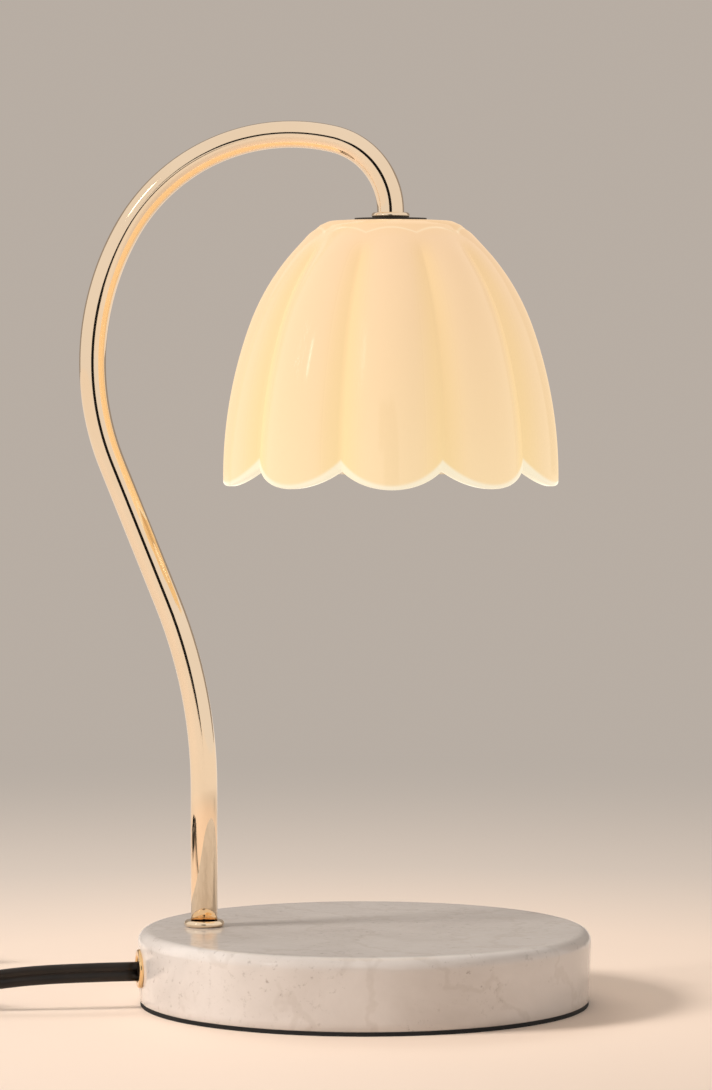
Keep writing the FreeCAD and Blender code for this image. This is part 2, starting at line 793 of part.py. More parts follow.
# Cores: the two conductors part behind the stop and run up inside the arm to the contacts.
def round_wire(name, edges, radius):
    path = Part.Wire(edges)
    start = edges[0].valueAt(edges[0].FirstParameter)
    ahead = edges[0].tangentAt(edges[0].FirstParameter)
    ring = Part.Wire([Part.Circle(start, ahead, radius).toShape()])
    sweep = Part.BRepOffsetAPI.MakePipeShell(path)
    sweep.add(ring)
    sweep.build()
    sweep.makeSolid()
    shape = sweep.shape()
    share = shape.Volume / (math.pi * radius ** 2 * path.Length)
    print("%s: volume is %.4f of section times length" % (name, share))
    return shape


def make_cores():
    half = size("core_spacing") / 2
    stack = (cord_wide - cord_thick) / 2
    into_arm = arm_place.inverse()
    for name, side in (("core_live", 1), ("core_neutral", -1)):
        start = into_arm.multVec(inner_end + UP * (stack * side))
        away = into_arm.Rotation.multVec(exit_way * -1)
        aside = half * side
        dip = tube_low - size("core_dip")
        bow = V(start.x + size("core_bow_along"), start.y + size("core_bow_aside") + aside, 0)
        bends = [
            start,
            start + away * size("core_straight"),
            bow + UP * (tube_low - size("core_bow_drop") + aside),
            V(start.x + size("core_bow_back"), aside, dip),
            V(0, aside, dip),
            V(0, aside, tube_low + size("core_rise")),
        ]
        edges = corner_path(bends, name)
        steps = [("run", stone_top + size("arm_rise") - bends[-1].z, 0)] + arm_steps()[1:]
        along, end = follow(steps, bends[-1])
        edges += [edge.toShape() for edge in along]
        pin_spot = V(end.x, pin_from_middle * side, 0)
        spread = [
            end,
            V(end.x, end.y, tube_end - size("tube_wall")),
            pin_spot + UP * (holder_face + size("ceramic_height") + size("core_spread")),
            pin_spot + UP * (holder_face + slot_roof),
        ]
        edges += corner_path(spread, name + " in the holder")
        made = solid(name, round_wire(name, edges, size("core_radius")))
        foot(made, name)


make_cores()


# Dimmer: a two-part housing on the cord, with a knob on its upper side.
dimmer_place = FreeCAD.Placement(V(size("dimmer_x"), size("dimmer_y"), 0), FreeCAD.Rotation())
half_length = size("dimmer_length") / 2
half_block = half_length - size("dimmer_taper")
half_width = size("dimmer_width") / 2
half_nose = size("dimmer_nose") / 2
part_line = size("dimmer_height") / 2


def plan_pad(points, low, high):
    """An upright prism from an outline in plan."""
    wire = Part.makePolygon([V(x, y, low) for x, y in points + points[:1]])
    return Part.Face(wire).extrude(V(0, 0, high - low))


def dimmer_outline():
    one_end = [(half_length, -half_nose), (half_length, half_nose), (half_block, half_width)]
    other_end = [(-x, -y) for x, y in one_end]
    return one_end + [(-half_block, half_width)] + other_end + [(half_block, -half_width)]


screw_x = half_block + size("screw_from_block")
screw_spots = [(-screw_x, -half_width / 2), (screw_x, half_width / 2)]


def at_xy(x, y, radius, height, low):
    """An upright cylinder at a place in plan."""
    return Part.makeCylinder(radius, height, V(x, y, low))


def half_housing(label, low, high):
    """One half of the dimmer's housing, rounded outside and still full inside."""
    shape = plan_pad(dimmer_outline(), low, high)
    outer_z = low if low == 0 else high
    chosen = []
    for edge in shape.Edges:
        ends = [vertex.Z for vertex in edge.Vertexes]
        upright = abs(ends[0] - ends[-1]) > 1
        outermost = all(abs(z - outer_z) < 0.01 for z in ends)
        if upright or outermost:
            chosen.append(edge)
    return shape.makeFillet(size("dimmer_round"), chosen)


def make_dimmer():
    shell_wall = size("dimmer_wall")
    gap = size("fit_gap")
    head_radius, shank_radius = size("screw_head_radius"), size("screw_radius")
    room_x, room_y = half_block - shell_wall, half_width - shell_wall
    height = size("dimmer_height")
    cavity = Part.makeBox(2 * room_x, 2 * room_y, height - 2 * shell_wall, V(-room_x, -room_y, shell_wall))
    channel_y, channel_z = cord_thick / 2 + gap, cord_wide / 2 + gap
    channel_low = V(-half_length, -channel_y, part_line - channel_z)
    channel = Part.makeBox(2 * half_length, 2 * channel_y, 2 * channel_z, channel_low)
    board_low = shell_wall + size("board_lift")

    lower = half_housing("dimmer_lower", 0, part_line).cut([cavity, channel])
    for x in (size("post_inset") - room_x, room_x - size("post_inset")):
        for y in (size("post_inset") - room_y, room_y - size("post_inset")):
            lower = lower.fuse(at_xy(x, y, size("post_radius"), size("board_lift"), shell_wall))
    upper = half_housing("dimmer_upper", part_line, height).cut([cavity, channel])
    screws = []
    for x, y in screw_spots:
        hole = at_xy(x, y, shank_radius + gap, size("screw_hole_depth"), 0)
        lower = lower.cut([at_xy(x, y, head_radius + gap, shell_wall, 0), hole])
        upper = upper.cut(hole)
        sink = size("screw_sink")
        shank = at_xy(x, y, shank_radius, size("screw_length"), sink)
        screws.append(shank.fuse(at_xy(x, y, head_radius, shell_wall - sink, sink)))
    shaft_way = size("knob_shaft_radius") + size("clear_gap")
    shaft_hole = at_xy(0, 0, shaft_way, 2 * shell_wall, height - 1.5 * shell_wall)
    keep(solid("dimmer_lower", lower.removeSplitter()), "dimmer_lower", dimmer_place)
    keep(solid("dimmer_upper", upper.cut(shaft_hole)), "dimmer_upper", dimmer_place)
    keep(solid("dimmer_screws", Part.makeCompound(screws)), "dimmer_screws", dimmer_place)

    edge_gap = size("board_gap")
    board_x, board_y = room_x - edge_gap, room_y - edge_gap
    board = Part.makeBox(2 * board_x, 2 * board_y, size("board_thick"), V(-board_x, -board_y, board_low))
    keep(solid("dimmer_board", board), "dimmer_board", dimmer_place)
    pot_low = board_low + size("board_thick")
    shaft_low = pot_low + size("pot_height") - size("shaft_depth")
    pot = at_xy(0, 0, size("pot_radius"), size("pot_height"), pot_low)
    pot = pot.cut(at_xy(0, 0, size("knob_shaft_radius") + gap, size("shaft_depth"), shaft_low))
    keep(solid("dimmer_pot", pot), "dimmer_pot", dimmer_place)

    knob_low = height + size("clear_gap")
    top = knob_low + size("knob_height")
    radius, shaft, knob_round = size("knob_radius"), size("knob_shaft_radius"), size("knob_round")
    shaft_end = shaft_low + size("clear_gap")
    side, crown = quarter(radius, top, knob_round)[:2], (radius - knob_round, top)
    knob = turned("dimmer_knob", [
        (0, shaft_end), (shaft, shaft_end), (shaft, knob_low), (radius, knob_low), (radius, top - knob_round),
        side + crown, (0, top)])
    keep(knob, "dimmer_knob", dimmer_place)


make_dimmer()

# Free stretches of the cord, each a list of points chosen by hand.
# The lead's first two points are the exit and a spot straight out of it.
LEAD = [(-127, -22.2, 13.0), (-149, -24, 10), (-172, -24, 10)]
LINK = [(-222, -24, 10), (-247, -24, 10), (-266.5, -12.7, 7.4), (-278, 7, 4.8), (-278, 32.8, 4.8)]
TAIL = [(-278, 47.2, 12.8), (-278, 72, 12.6), (-268, 89.3, 12.2), (-250.7, 99.3, 12), (-232, 99.3, 12)]
lead_points = [cord_exit, cord_exit + exit_way * size("cord_straight")] + [V(*point) for point in LEAD]
flat_cord("cord_lead", corner_path(lead_points, "cord_lead"))
flat_cord("cord_link", corner_path([V(*point) for point in LINK], "cord_link"))
flat_cord("cord_tail", corner_path([V(*point) for point in TAIL], "cord_tail"))


# Coil: half turns that draw in on the lower layer, climb, and draw out again on the upper one.
def coil_edges():
    pitch = cord_thick + size("coil_gap")
    low_z = size("coil_lift") + cord_wide / 2
    high_z = low_z + cord_wide + size("coil_gap")
    radius = size("coil_radius")
    x = size("coil_x") - radius
    y = size("coil_y")
    inward = [radius - number * pitch / 2 for number in range(int(size("turns_inward")))]
    climb = inward[-1] - pitch / 2
    outward = [climb + (number + 1) * pitch / 2 for number in range(int(size("turns_outward")))]
    turns = [(r, 0.0) for r in inward] + [(climb, high_z - low_z)] + [(r, 0.0) for r in outward]
    here = V(x, y, low_z)
    edges = [Part.LineSegment(here - V(0, cord_wide, 0), here).toShape()]
    side = 1
    for r, rise in turns:
        there = here + V(2 * r * side, 0, rise)
        half_chord = (there - here).Length / 2
        middle = (here + there) * 0.5 + V(0, half_chord * side, 0)
        edges.append(Part.Arc(here, middle, there).toShape())
        here = there
        side = -side
    edges.append(Part.LineSegment(here, here + V(0, cord_wide, 0)).toShape())
    return edges


def least_gap(edges):
    """The least clear distance between two turns of the coil, measured on points along it."""
    path = Part.Wire(edges)
    spots = []
    point_step = 2.0
    for edge in edges:
        spots += edge.discretize(max(3, int(edge.Length / point_step)))[:-1]
    best = path.Length
    apart = 30
    for number, one in enumerate(spots):
        for other in spots[number + apart:]:
            flat = math.hypot(one.x - other.x, one.y - other.y)
            high = abs(one.z - other.z)
            gap = max(flat - cord_thick, high - cord_wide)
            if flat < cord_thick and high < cord_wide:
                gap = min(flat - cord_thick, high - cord_wide)
            best = min(best, gap)
    print("coil: length %.0f mm, least gap to itself %.2f mm" % (path.Length, best))


coil = coil_edges()
least_gap(coil)
flat_cord("cord_coil", coil)

# Tie: a strap round the bundle at its right side.
def make_tie():
    thick, slack, wide = size("tie_thick"), size("tie_gap"), size("tie_width")
    layers = int(size("turns_inward")) / 2
    low = size("coil_lift") - size("tie_lift_gap")
    high = size("coil_lift") + 2 * cord_wide + size("coil_gap") + slack
    far = size("coil_radius") + cord_thick / 2 + slack
    near = size("coil_radius") - layers * (cord_thick + size("coil_gap")) - cord_thick / 2 - slack
    inside = Part.makeBox(far - near, wide, high - low, V(near, -wide / 2, low))
    skin = V(thick, 0, thick)
    corner = V(near, -wide / 2, low) - skin
    outside = Part.makeBox(far - near + 2 * thick, wide, high - low + 2 * thick, corner)
    coil_middle = FreeCAD.Placement(V(size("coil_x"), size("coil_y"), 0), FreeCAD.Rotation())
    keep(solid("coil_tie", outside.cut(inside)), "coil_tie", coil_middle)


make_tie()


# Plug: a moulded body with a tapered strain relief and two flat blades.
def make_plug():
    start = V(*TAIL[-1])
    relief = size("plug_taper")
    body_from = start.x + relief
    front = body_from + size("plug_length")
    wide, deep = size("plug_width"), size("plug_thick")
    corner = V(body_from, start.y - deep / 2, start.z - wide / 2)
    block = Part.makeBox(size("plug_length"), deep, wide, corner)
    block = block.makeFillet(size("plug_round"), block.Edges)
    thin_end = cord_wide / 2 + size("relief_wall")
    wide_end = deep / 2 - size("relief_step")
    taper = Part.makeCone(thin_end, wide_end, relief + size("relief_overlap"), start, V(1, 0, 0))
    body = block.fuse(taper)
    blade_wide, blade_thick, root = size("blade_width"), size("blade_thick"), size("blade_root")
    blades = []
    for side in (-1, 1):
        blade_z = start.z + side * size("blade_spacing") / 2 - blade_thick / 2
        low = V(front - root, start.y - blade_wide / 2, blade_z)
        blades.append(Part.makeBox(size("blade_length") + root, blade_wide, blade_thick, low))
    keep(solid("plug_body", body.cut(blades)), "plug_body")
    keep(solid("plug_blades", Part.makeCompound(blades)), "plug_blades")


make_plug()

# Check every object and write each sub-part to its own file.
doc.recompute()
for made in doc.Objects:
    if "Invalid" in made.State or "Error" in made.State:
        raise RuntimeError("%s failed: %s" % (made.Name, made.State))
os.makedirs("parts", exist_ok=True)
for made in PARTS:
    shape = made.Shape
    if shape.isNull() or not shape.isValid() or not shape.Solids:
        raise RuntimeError("%s has no valid shape" % made.Label)
    shape.exportStep("parts/%s.step" % made.Label)
print("%d sub-parts written" % len(PARTS))
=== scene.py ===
# %% [markdown]
# A table lamp that warms what stands under its shade: a round marble base, a bent tube of polished
# brass, a fluted shade of opal glass, and a flat black cord with a dimmer and a plug on it.
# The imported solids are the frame. Each piece below takes its place from them, so that nothing
# has to be fitted by eye afterwards. Lengths in this file are written in millimetres and turned
# into metres by the one factor MM.

# %% Load the frame
import bmesh
import bpy
import math
from mathutils import Matrix, Vector


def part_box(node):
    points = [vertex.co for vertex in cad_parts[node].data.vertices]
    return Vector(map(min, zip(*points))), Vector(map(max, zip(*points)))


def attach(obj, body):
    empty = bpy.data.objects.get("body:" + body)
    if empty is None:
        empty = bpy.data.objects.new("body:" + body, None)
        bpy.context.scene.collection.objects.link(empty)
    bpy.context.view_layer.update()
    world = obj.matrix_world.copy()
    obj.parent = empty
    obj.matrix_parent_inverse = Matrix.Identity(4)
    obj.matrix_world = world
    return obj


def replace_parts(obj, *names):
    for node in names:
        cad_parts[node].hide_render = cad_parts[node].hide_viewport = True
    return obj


MM = 0.001
UP = Vector((0, 0, 1))
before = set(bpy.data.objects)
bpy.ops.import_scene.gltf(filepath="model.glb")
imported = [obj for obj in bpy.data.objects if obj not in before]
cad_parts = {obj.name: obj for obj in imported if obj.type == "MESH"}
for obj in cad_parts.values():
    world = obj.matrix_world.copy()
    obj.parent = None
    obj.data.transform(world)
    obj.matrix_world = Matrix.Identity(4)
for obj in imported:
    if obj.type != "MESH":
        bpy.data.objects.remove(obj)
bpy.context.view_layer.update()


def middle_of(node):
    """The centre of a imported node's box."""
    low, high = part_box(node)
    return (low + high) / 2


# %% [markdown]
# The picture was taken from 1.7 m in front of the lamp with a long lens, a little above the
# middle of its height, and tipped down by under three degrees. The long side of a picture is
# the one that a sensor's width goes with, so the lens is worked out from the picture's height.

# %% Camera
PICTURE_HEIGHT = 1090
FOCAL_PIXELS = 4600
SENSOR = 36.0
CAMERA_PLACE = Vector((-3.2, -1713.9, 252.2)) * MM
CAMERA_TIP = math.radians(90 - 2.693)

camera_data = bpy.data.cameras.new("photo_camera")
camera_data.sensor_width = SENSOR
camera_data.lens = SENSOR * FOCAL_PIXELS / PICTURE_HEIGHT
camera = bpy.data.objects.new("photo_camera", camera_data)
camera.location = CAMERA_PLACE
camera.rotation_euler = (CAMERA_TIP, 0, 0)
bpy.context.scene.collection.objects.link(camera)
bpy.context.scene.camera = camera
print("lens %.1f mm" % camera_data.lens)


# %% [markdown]
# Every finish below starts the same way: a new material, its main shader, and the object's own
# coordinates to hang a pattern on. Two small helpers keep the node code short. Plain numbers
# that hold for the whole surface go straight on the shader's sockets.

# %% Helpers for materials
def new_finish(name, **sockets):
    """A material whose main shader has these plain values; gives the material and its shader."""
    material = bpy.data.materials.new(name)
    material.use_nodes = True
    shader = material.node_tree.nodes["Principled BSDF"]
    for socket, value in sockets.items():
        shader.inputs[socket.replace("_", " ")].default_value = value
    return material, shader


def add_node(material, kind, settings=None, **inputs):
    """A node with its settings and plain inputs; an input given as a socket is linked."""
    node = material.node_tree.nodes.new(kind)
    for key, value in (settings or {}).items():
        setattr(node, key, value)
    for key, value in inputs.items():
        socket = node.inputs[key.replace("_", " ")]
        if isinstance(value, bpy.types.NodeSocket):
            material.node_tree.links.new(value, socket)
        else:
            socket.default_value = value
    return node


def link(material, source, target):
    """A wire from one socket to another."""
    material.node_tree.links.new(source, target)


def place_on(material):
    """The object's own coordinates, as a socket."""
    return add_node(material, "ShaderNodeTexCoord").outputs["Object"]


def noise(material, scale, detail=3.0, roughness=0.5, distortion=0.0):
    """A noise pattern on the object's coordinates, as a socket from 0 to 1."""
    made = add_node(material, "ShaderNodeTexNoise", Vector=place_on(material), Scale=scale,
                    Detail=detail, Roughness=roughness, Distortion=distortion)
    return made.outputs["Fac"]


def ramp(material, source, stops):
    """Colours along a value: stops are (position, colour)."""
    made = add_node(material, "ShaderNodeValToRGB", Fac=source)
    while len(made.color_ramp.elements) < len(stops):
        made.color_ramp.elements.new(1.0)
    for element, (position, colour) in zip(made.color_ramp.elements, stops):
        element.position = position
        element.color = (*colour, 1.0)
    return made.outputs["Color"]


def spread(material, source, low, high):
    """A pattern from 0 to 1 stretched to run from low to high."""
    made = add_node(material, "ShaderNodeMapRange", Value=source, To_Min=low, To_Max=high)
    return made.outputs["Result"]


def coloured(material, shader, source, stops):
    """The base colour follows a value along a ramp."""
    link(material, ramp(material, source, stops), shader.inputs["Base Color"])


def roughened(material, shader, source, low, high):
    """The roughness follows a value, from low to high."""
    link(material, spread(material, source, low, high), shader.inputs["Roughness"])


def bumped(material, shader, source, height):
    """A relief that only tilts the light; its height is in metres."""
    made = add_node(material, "ShaderNodeBump", Height=source, Distance=height, Strength=1.0)
    link(material, made.outputs["Normal"], shader.inputs["Normal"])


print("helpers for finishes ready")


# %% [markdown]
# The mains cord is a flat twin lead of soft black plastic: two round halves side by side with a
# groove along the middle. A faint mottle keeps its gloss from looking like paint.

# %% Cord finish
def cord_finish():
    material, shader = new_finish("cord_black", Specular_IOR_Level=0.32)
    coloured(material, shader, noise(material, scale=90),
             [(0.3, (0.007, 0.005, 0.004)), (0.8, (0.016, 0.011, 0.008))])
    roughened(material, shader, noise(material, scale=350), 0.26, 0.4)
    bumped(material, shader, noise(material, scale=2500), height=0.00004)
    return material


cord_black = cord_finish()
print("finish:", cord_black.name)

# %% [markdown]
# The cord's line is one smooth spline whose control points are the route's points: out of the
# ring at the base, through the dimmer, round the coil in two layers, and into the plug. The
# coil's turns are worked out by a loop, half a turn at a time, each a little smaller than the
# last, and then growing again on top.

# %% Cord route
CORD_WIDE = 7.2
CORD_THICK = 3.6
EXIT_ANGLE = math.radians(190)
EXIT_FROM_MIDDLE = 85.8
CORD_STRAIGHT = 20.0
LEAD = [(-127, -22.2, 13.0), (-149, -24, 10), (-172, -24, 10)]
LINK = [(-222, -24, 10), (-247, -24, 10), (-266.5, -12.7, 7.4), (-278, 7, 4.8), (-278, 32.8, 4.8)]
TAIL = [(-278, 72, 12.6), (-268, 89.3, 12.2), (-250.7, 99.3, 12), (-232, 99.3, 12)]
COIL_MIDDLE = (-232.0, 40.0)
COIL_RADIUS = 46.0
COIL_GAP = 0.8
COIL_LOW = 4.8
HALVES_INWARD = 6
HALVES_OUTWARD = 5
POINTS_PER_HALF = 12

exit_way = Vector((math.cos(EXIT_ANGLE), math.sin(EXIT_ANGLE), 0))
exit_height = middle_of("cord_inner").z / MM
cord_exit = exit_way * EXIT_FROM_MIDDLE + Vector((0, 0, exit_height))


def coil_points():
    """Control points of the half turns; each is followed with its own radius and middle."""
    pitch = CORD_THICK + COIL_GAP
    layer = CORD_WIDE + COIL_GAP
    inward = [COIL_RADIUS - number * pitch / 2 for number in range(HALVES_INWARD)]
    climb = inward[-1] - pitch / 2
    outward = [climb + (number + 1) * pitch / 2 for number in range(HALVES_OUTWARD)]
    halves = [(r, 0.0) for r in inward] + [(climb, layer)] + [(r, 0.0) for r in outward]
    half_step = math.pi / POINTS_PER_HALF / 2
    x, z, side = COIL_MIDDLE[0] - COIL_RADIUS, COIL_LOW, 1
    points = []
    for radius, rise in halves:
        out = radius / math.cos(half_step)
        for number in range(POINTS_PER_HALF):
            share = (number + 0.5) / POINTS_PER_HALF
            angle = math.pi * share
            points.append((x + side * (radius - out * math.cos(angle)),
                           COIL_MIDDLE[1] + side * out * math.sin(angle), z + rise * share))
        x, z, side = x + 2 * radius * side, z + rise, -side
    return points


route = [cord_exit, cord_exit + exit_way * CORD_STRAIGHT] + [Vector(p) for p in LEAD + LINK]
route += [Vector(p) for p in coil_points() + TAIL]
print("cord route has", len(route), "control points")


# %% Cord line
def plain_mesh(carrier):
    """The mesh that an object comes out as; the object itself goes."""
    bpy.context.scene.collection.objects.link(carrier)
    made = carrier.evaluated_get(bpy.context.evaluated_depsgraph_get())
    mesh = bpy.data.meshes.new_from_object(made)
    bpy.data.objects.remove(carrier)
    return mesh


def smooth_line(name, points, steps):
    """Points along one NURBS spline, read from a curve that has no bevel."""
    curve = bpy.data.curves.new(name, "CURVE")
    curve.dimensions = "3D"
    curve.resolution_u = steps
    spline = curve.splines.new("NURBS")
    spline.points.add(len(points) - 1)
    for control, place in zip(spline.points, points):
        control.co = (*(place * MM), 1.0)
    # The order is set after the points are there: set before, it would stay at straight runs.
    spline.order_u = 3
    spline.use_endpoint_u = True
    line = plain_mesh(bpy.data.objects.new(name, curve))
    return [vertex.co.copy() for vertex in line.vertices]


cord_line = smooth_line("cord_line", route, steps=8)


# %% [markdown]
# The cord's skin is swept along that line by hand, because its wide side has to stay upright all
# the way, which a curve's own bevel does not promise. CORD_WEB is half the thickness that is left
# in the groove between its two halves. Two pieces of code below serve many pieces later on: one
# makes a mesh from vertices and faces, the other closes rings into a tube.

# %% Sweeping the cord
CORD_WEB = 0.75


def new_piece(name, vertices, faces, material):
    """A mesh piece in its place, from points and faces."""
    mesh = bpy.data.meshes.new(name)
    mesh.from_pydata([tuple(v) for v in vertices], [], faces)
    mesh.materials.append(material)
    return piece_from(name, mesh)


def piece_from(name, mesh, body="lamp"):
    """A finished mesh as a piece that rides on a body."""
    mesh.polygons.foreach_set("use_smooth", [True] * len(mesh.polygons))
    piece = bpy.data.objects.new(name, mesh)
    bpy.context.scene.collection.objects.link(piece)
    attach(piece, body)
    return piece


def ring_faces(rings, around, first=0):
    """Quads between neighbouring rings of so many vertices each."""
    faces = []
    for ring in range(rings - 1):
        low = first + ring * around
        for number in range(around):
            after = (number + 1) % around
            faces.append((low + number, low + after, low + around + after, low + around + number))
    return faces


def cord_outline(per_side=24):
    """The cord's section as (across, up): two round halves and a shallow groove on each side."""
    half_thick, half_wide = CORD_THICK / 2, CORD_WIDE / 2
    side = []
    for number in range(per_side + 1):
        up = -half_wide * math.cos(math.pi * number / per_side)
        past = abs(up) - (half_wide - half_thick)
        across = math.sqrt(max(half_thick ** 2 - past ** 2, 0.0))
        if past < 0:
            across = math.sqrt(across ** 2 + (CORD_WEB ** 2) * (past / half_thick) ** 4)
        side.append((across, up))
    return [(-across, up) for across, up in side] + list(reversed(side[1:-1]))


def sweep_upright(line, outline):
    """Rings of an outline along a line, kept upright."""
    vertices = []
    for number, place in enumerate(line):
        before, after = line[max(number - 1, 0)], line[min(number + 1, len(line) - 1)]
        aside = (after - before).cross(UP).normalized()
        lift = aside.cross(after - before).normalized()
        vertices += [place + aside * across * MM + lift * up * MM for across, up in outline]
    return vertices


outline = cord_outline()
cord_skin = sweep_upright(cord_line, outline)
last = len(cord_skin) - len(outline)
cord_faces = ring_faces(len(cord_line), len(outline))
cord_faces.append(tuple(reversed(range(len(outline)))))
cord_faces.append(tuple(range(last, len(cord_skin))))
mains_cord = new_piece("mains_cord", cord_skin, cord_faces, cord_black)
print("cord skin:", len(cord_faces), "faces")


# %% [markdown]
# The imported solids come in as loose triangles. For the pieces whose solid shape is already
# right, a welded copy takes the solid's place: its faces share corners again, so light runs
# smoothly over round surfaces, and edges sharper than a set angle stay crisp.

# %% Welded copies of the solids
SHARP = math.radians(32)
FLAT = math.radians(0.5)
WELD_DISTANCE = 0.000002


def welded(node, material, body="lamp"):
    """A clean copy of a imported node, with smooth rounds and crisp edges, that stands for it."""
    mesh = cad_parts[node].data.copy()
    mesh.name = node + "_shape"
    shape = bmesh.new()
    shape.from_mesh(mesh)
    bmesh.ops.remove_doubles(shape, verts=shape.verts, dist=WELD_DISTANCE)
    bmesh.ops.dissolve_limit(shape, angle_limit=FLAT, verts=shape.verts, edges=shape.edges)
    for edge in shape.edges:
        edge.smooth = len(edge.link_faces) == 2 and edge.calc_face_angle(0.0) < SHARP
    shape.to_mesh(mesh)
    shape.free()
    mesh.materials.clear()
    mesh.materials.append(material)
    piece = piece_from(node + "_shape", mesh, body)
    weights = piece.modifiers.new("face_weights", "WEIGHTED_NORMAL")
    weights.keep_sharp = True
    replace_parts(piece, node)
    return piece


print("edges over %.0f degrees stay crisp" % math.degrees(SHARP))


# %% [markdown]
# The dimmer is a two-part housing of fine-textured black plastic with a glossy knob. Nothing of
# it shows in the picture, so it is plain. The texture is a fine noise that only tilts the light.

# %% Plastic finishes
def textured_plastic(name, colour, grain, roughness):
    """Moulded plastic; grain is how fine its texture is."""
    material, shader = new_finish(name, Specular_IOR_Level=0.4)
    pale = tuple(channel * 1.5 for channel in colour)
    coloured(material, shader, noise(material, scale=60), [(0.35, colour), (0.75, pale)])
    roughened(material, shader, noise(material, scale=600), roughness - 0.06, roughness + 0.06)
    bumped(material, shader, noise(material, scale=grain, detail=4), height=0.00008)
    return material


housing_black = textured_plastic("housing_black", (0.014, 0.013, 0.012), 1800, 0.5)
nylon_black = textured_plastic("nylon_black", (0.020, 0.020, 0.020), 700, 0.42)
knob_black = textured_plastic("knob_black", (0.010, 0.009, 0.009), 3000, 0.22)
plug_black = textured_plastic("plug_black", (0.012, 0.011, 0.010), 1400, 0.38)
foam_black = textured_plastic("foam_black", (0.010, 0.010, 0.010), 900, 0.85)
washer_black = textured_plastic("washer_black", (0.012, 0.010, 0.009), 1500, 0.35)
print("plastics ready")


# %% [markdown]
# Metals: zinc-plated steel for nuts and screws, spring bronze for contacts and blades, and a
# satin gold lacquer for the cup. Each has a roughness that wanders a little, as plating does.

# %% Metal finishes
def plated_metal(name, colour, roughness):
    """Plated metal with faint clouds in its colour and its gloss."""
    material, shader = new_finish(name, Metallic=1.0)
    dull = tuple(channel * 0.86 for channel in colour)
    coloured(material, shader, noise(material, scale=40), [(0.3, dull), (0.7, colour)])
    roughened(material, shader, noise(material, scale=220), roughness * 0.75, roughness * 1.25)
    bumped(material, shader, noise(material, scale=900), height=0.00001)
    return material


zinc = plated_metal("zinc_plate", (0.70, 0.71, 0.72), 0.32)
bronze = plated_metal("spring_bronze", (0.80, 0.58, 0.34), 0.28)
gold_lacquer = plated_metal("gold_lacquer", (0.78, 0.62, 0.38), 0.34)
print("metals ready")

# %% [markdown]
# The pieces on the cord: housing, board, control, screws, plug and tie. Their solids already have
# the right shape, so they are welded copies. The knob gets flutes of its own further down.

# %% Circuit board finish
def board_finish():
    """Green lacquer with copper tracks in a grid."""
    material, shader = new_finish("circuit_board", Roughness=0.4)
    grid = add_node(material, "ShaderNodeTexBrick", Vector=place_on(material), Scale=180.0,
                    Mortar_Size=0.04, Color1=(0.012, 0.10, 0.035, 1), Color2=(0.014, 0.12, 0.04, 1),
                    Mortar=(0.45, 0.26, 0.10, 1))
    link(material, grid.outputs["Color"], shader.inputs["Base Color"])
    bumped(material, shader, grid.outputs["Fac"], height=0.00003)
    return material


# %% Pieces on the cord
on_cord = [
    welded("dimmer_lower", housing_black),
    welded("dimmer_upper", housing_black),
    welded("dimmer_board", board_finish()),
    welded("dimmer_pot", nylon_black),
    welded("dimmer_screws", zinc),
    welded("plug_body", plug_black),
    welded("plug_blades", bronze),
    welded("coil_tie", nylon_black),
]
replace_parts(mains_cord, "cord_lead", "cord_link", "cord_coil", "cord_tail")
print(len(on_cord), "pieces on the cord")

# %% [markdown]
# The arm, its foot ring and the collar on the shade are polished and plated in a pale gold. The ring round
# the cord is the same metal in a deeper tone: a painted reflection of the warm floor that it mirrors. A
# mirror has hardly any colour detail of its own: what makes it look real is what it reflects, a trace of
# unevenness in the polish, and round edges.

# %% Polished brass
def polished_brass(name, dull, bright):
    """A mirror finish whose colour lies between two tones."""
    material, shader = new_finish(name, Metallic=1.0)
    coloured(material, shader, noise(material, scale=25), [(0.3, dull), (0.7, bright)])
    roughened(material, shader, noise(material, scale=130, detail=5), 0.045, 0.085)
    bumped(material, shader, noise(material, scale=35, detail=1), height=0.00002)
    return material


brass = polished_brass("polished_brass", (0.89, 0.725, 0.53), (0.93, 0.77, 0.58))
# The same metal as the arm, in a deeper tone that is a painted reflection of the warm floor.
brass_with_painted_floor_reflection = polished_brass("brass_with_painted_floor_reflection", (0.80, 0.53, 0.25), (0.87, 0.61, 0.32))
print("finishes:", brass.name, brass_with_painted_floor_reflection.name)

# %% [markdown]
# A turned piece is an outline spun about an axis. The helper below spins a closed outline of
# (radius, height) points into a ring or a disc. Round stretches of the outline are arcs.

# %% Turning
AROUND = 96
ON_AXIS = 1e-6


def arc(middle, radius, start, end, steps=8):
    """Points of an arc in an outline, angles in degrees, from outwards (0) to up (90)."""
    points = []
    for number in range(steps + 1):
        angle = math.radians(start + (end - start) * number / steps)
        points.append((middle[0] + radius * math.cos(angle), middle[1] + radius * math.sin(angle)))
    return points


def turned(name, outline, axis_place, material, around=AROUND, tilt=None):
    """A closed outline, given anticlockwise with the axis at its left, spun about the axis."""
    mesh = bpy.data.meshes.new(name)
    shape = bmesh.new()
    rings = []
    for radius, height in outline:
        if radius < ON_AXIS:
            rings.append([shape.verts.new((0, 0, height * MM))] * around)
            continue
        ring = []
        for number in range(around):
            angle = 2 * math.pi * number / around
            across, along = radius * math.cos(angle), radius * math.sin(angle)
            ring.append(shape.verts.new((across * MM, along * MM, height * MM)))
        rings.append(ring)
    for one, other in zip(rings, rings[1:] + rings[:1]):
        for number in range(around):
            after = (number + 1) % around
            corners = [one[number], one[after], other[after], other[number]]
            unique = list(dict.fromkeys(corners))
            if len(unique) > 2:
                shape.faces.new(unique)
    for edge in shape.edges:
        if len(edge.link_faces) == 2:
            edge.smooth = edge.calc_face_angle(0.0) < SHARP
    shape.normal_update()
    shape.to_mesh(mesh)
    shape.free()
    mesh.materials.append(material)
    if tilt is not None:
        mesh.transform(tilt.to_4x4())
    mesh.transform(Matrix.Translation(axis_place))
    return piece_from(name, mesh)


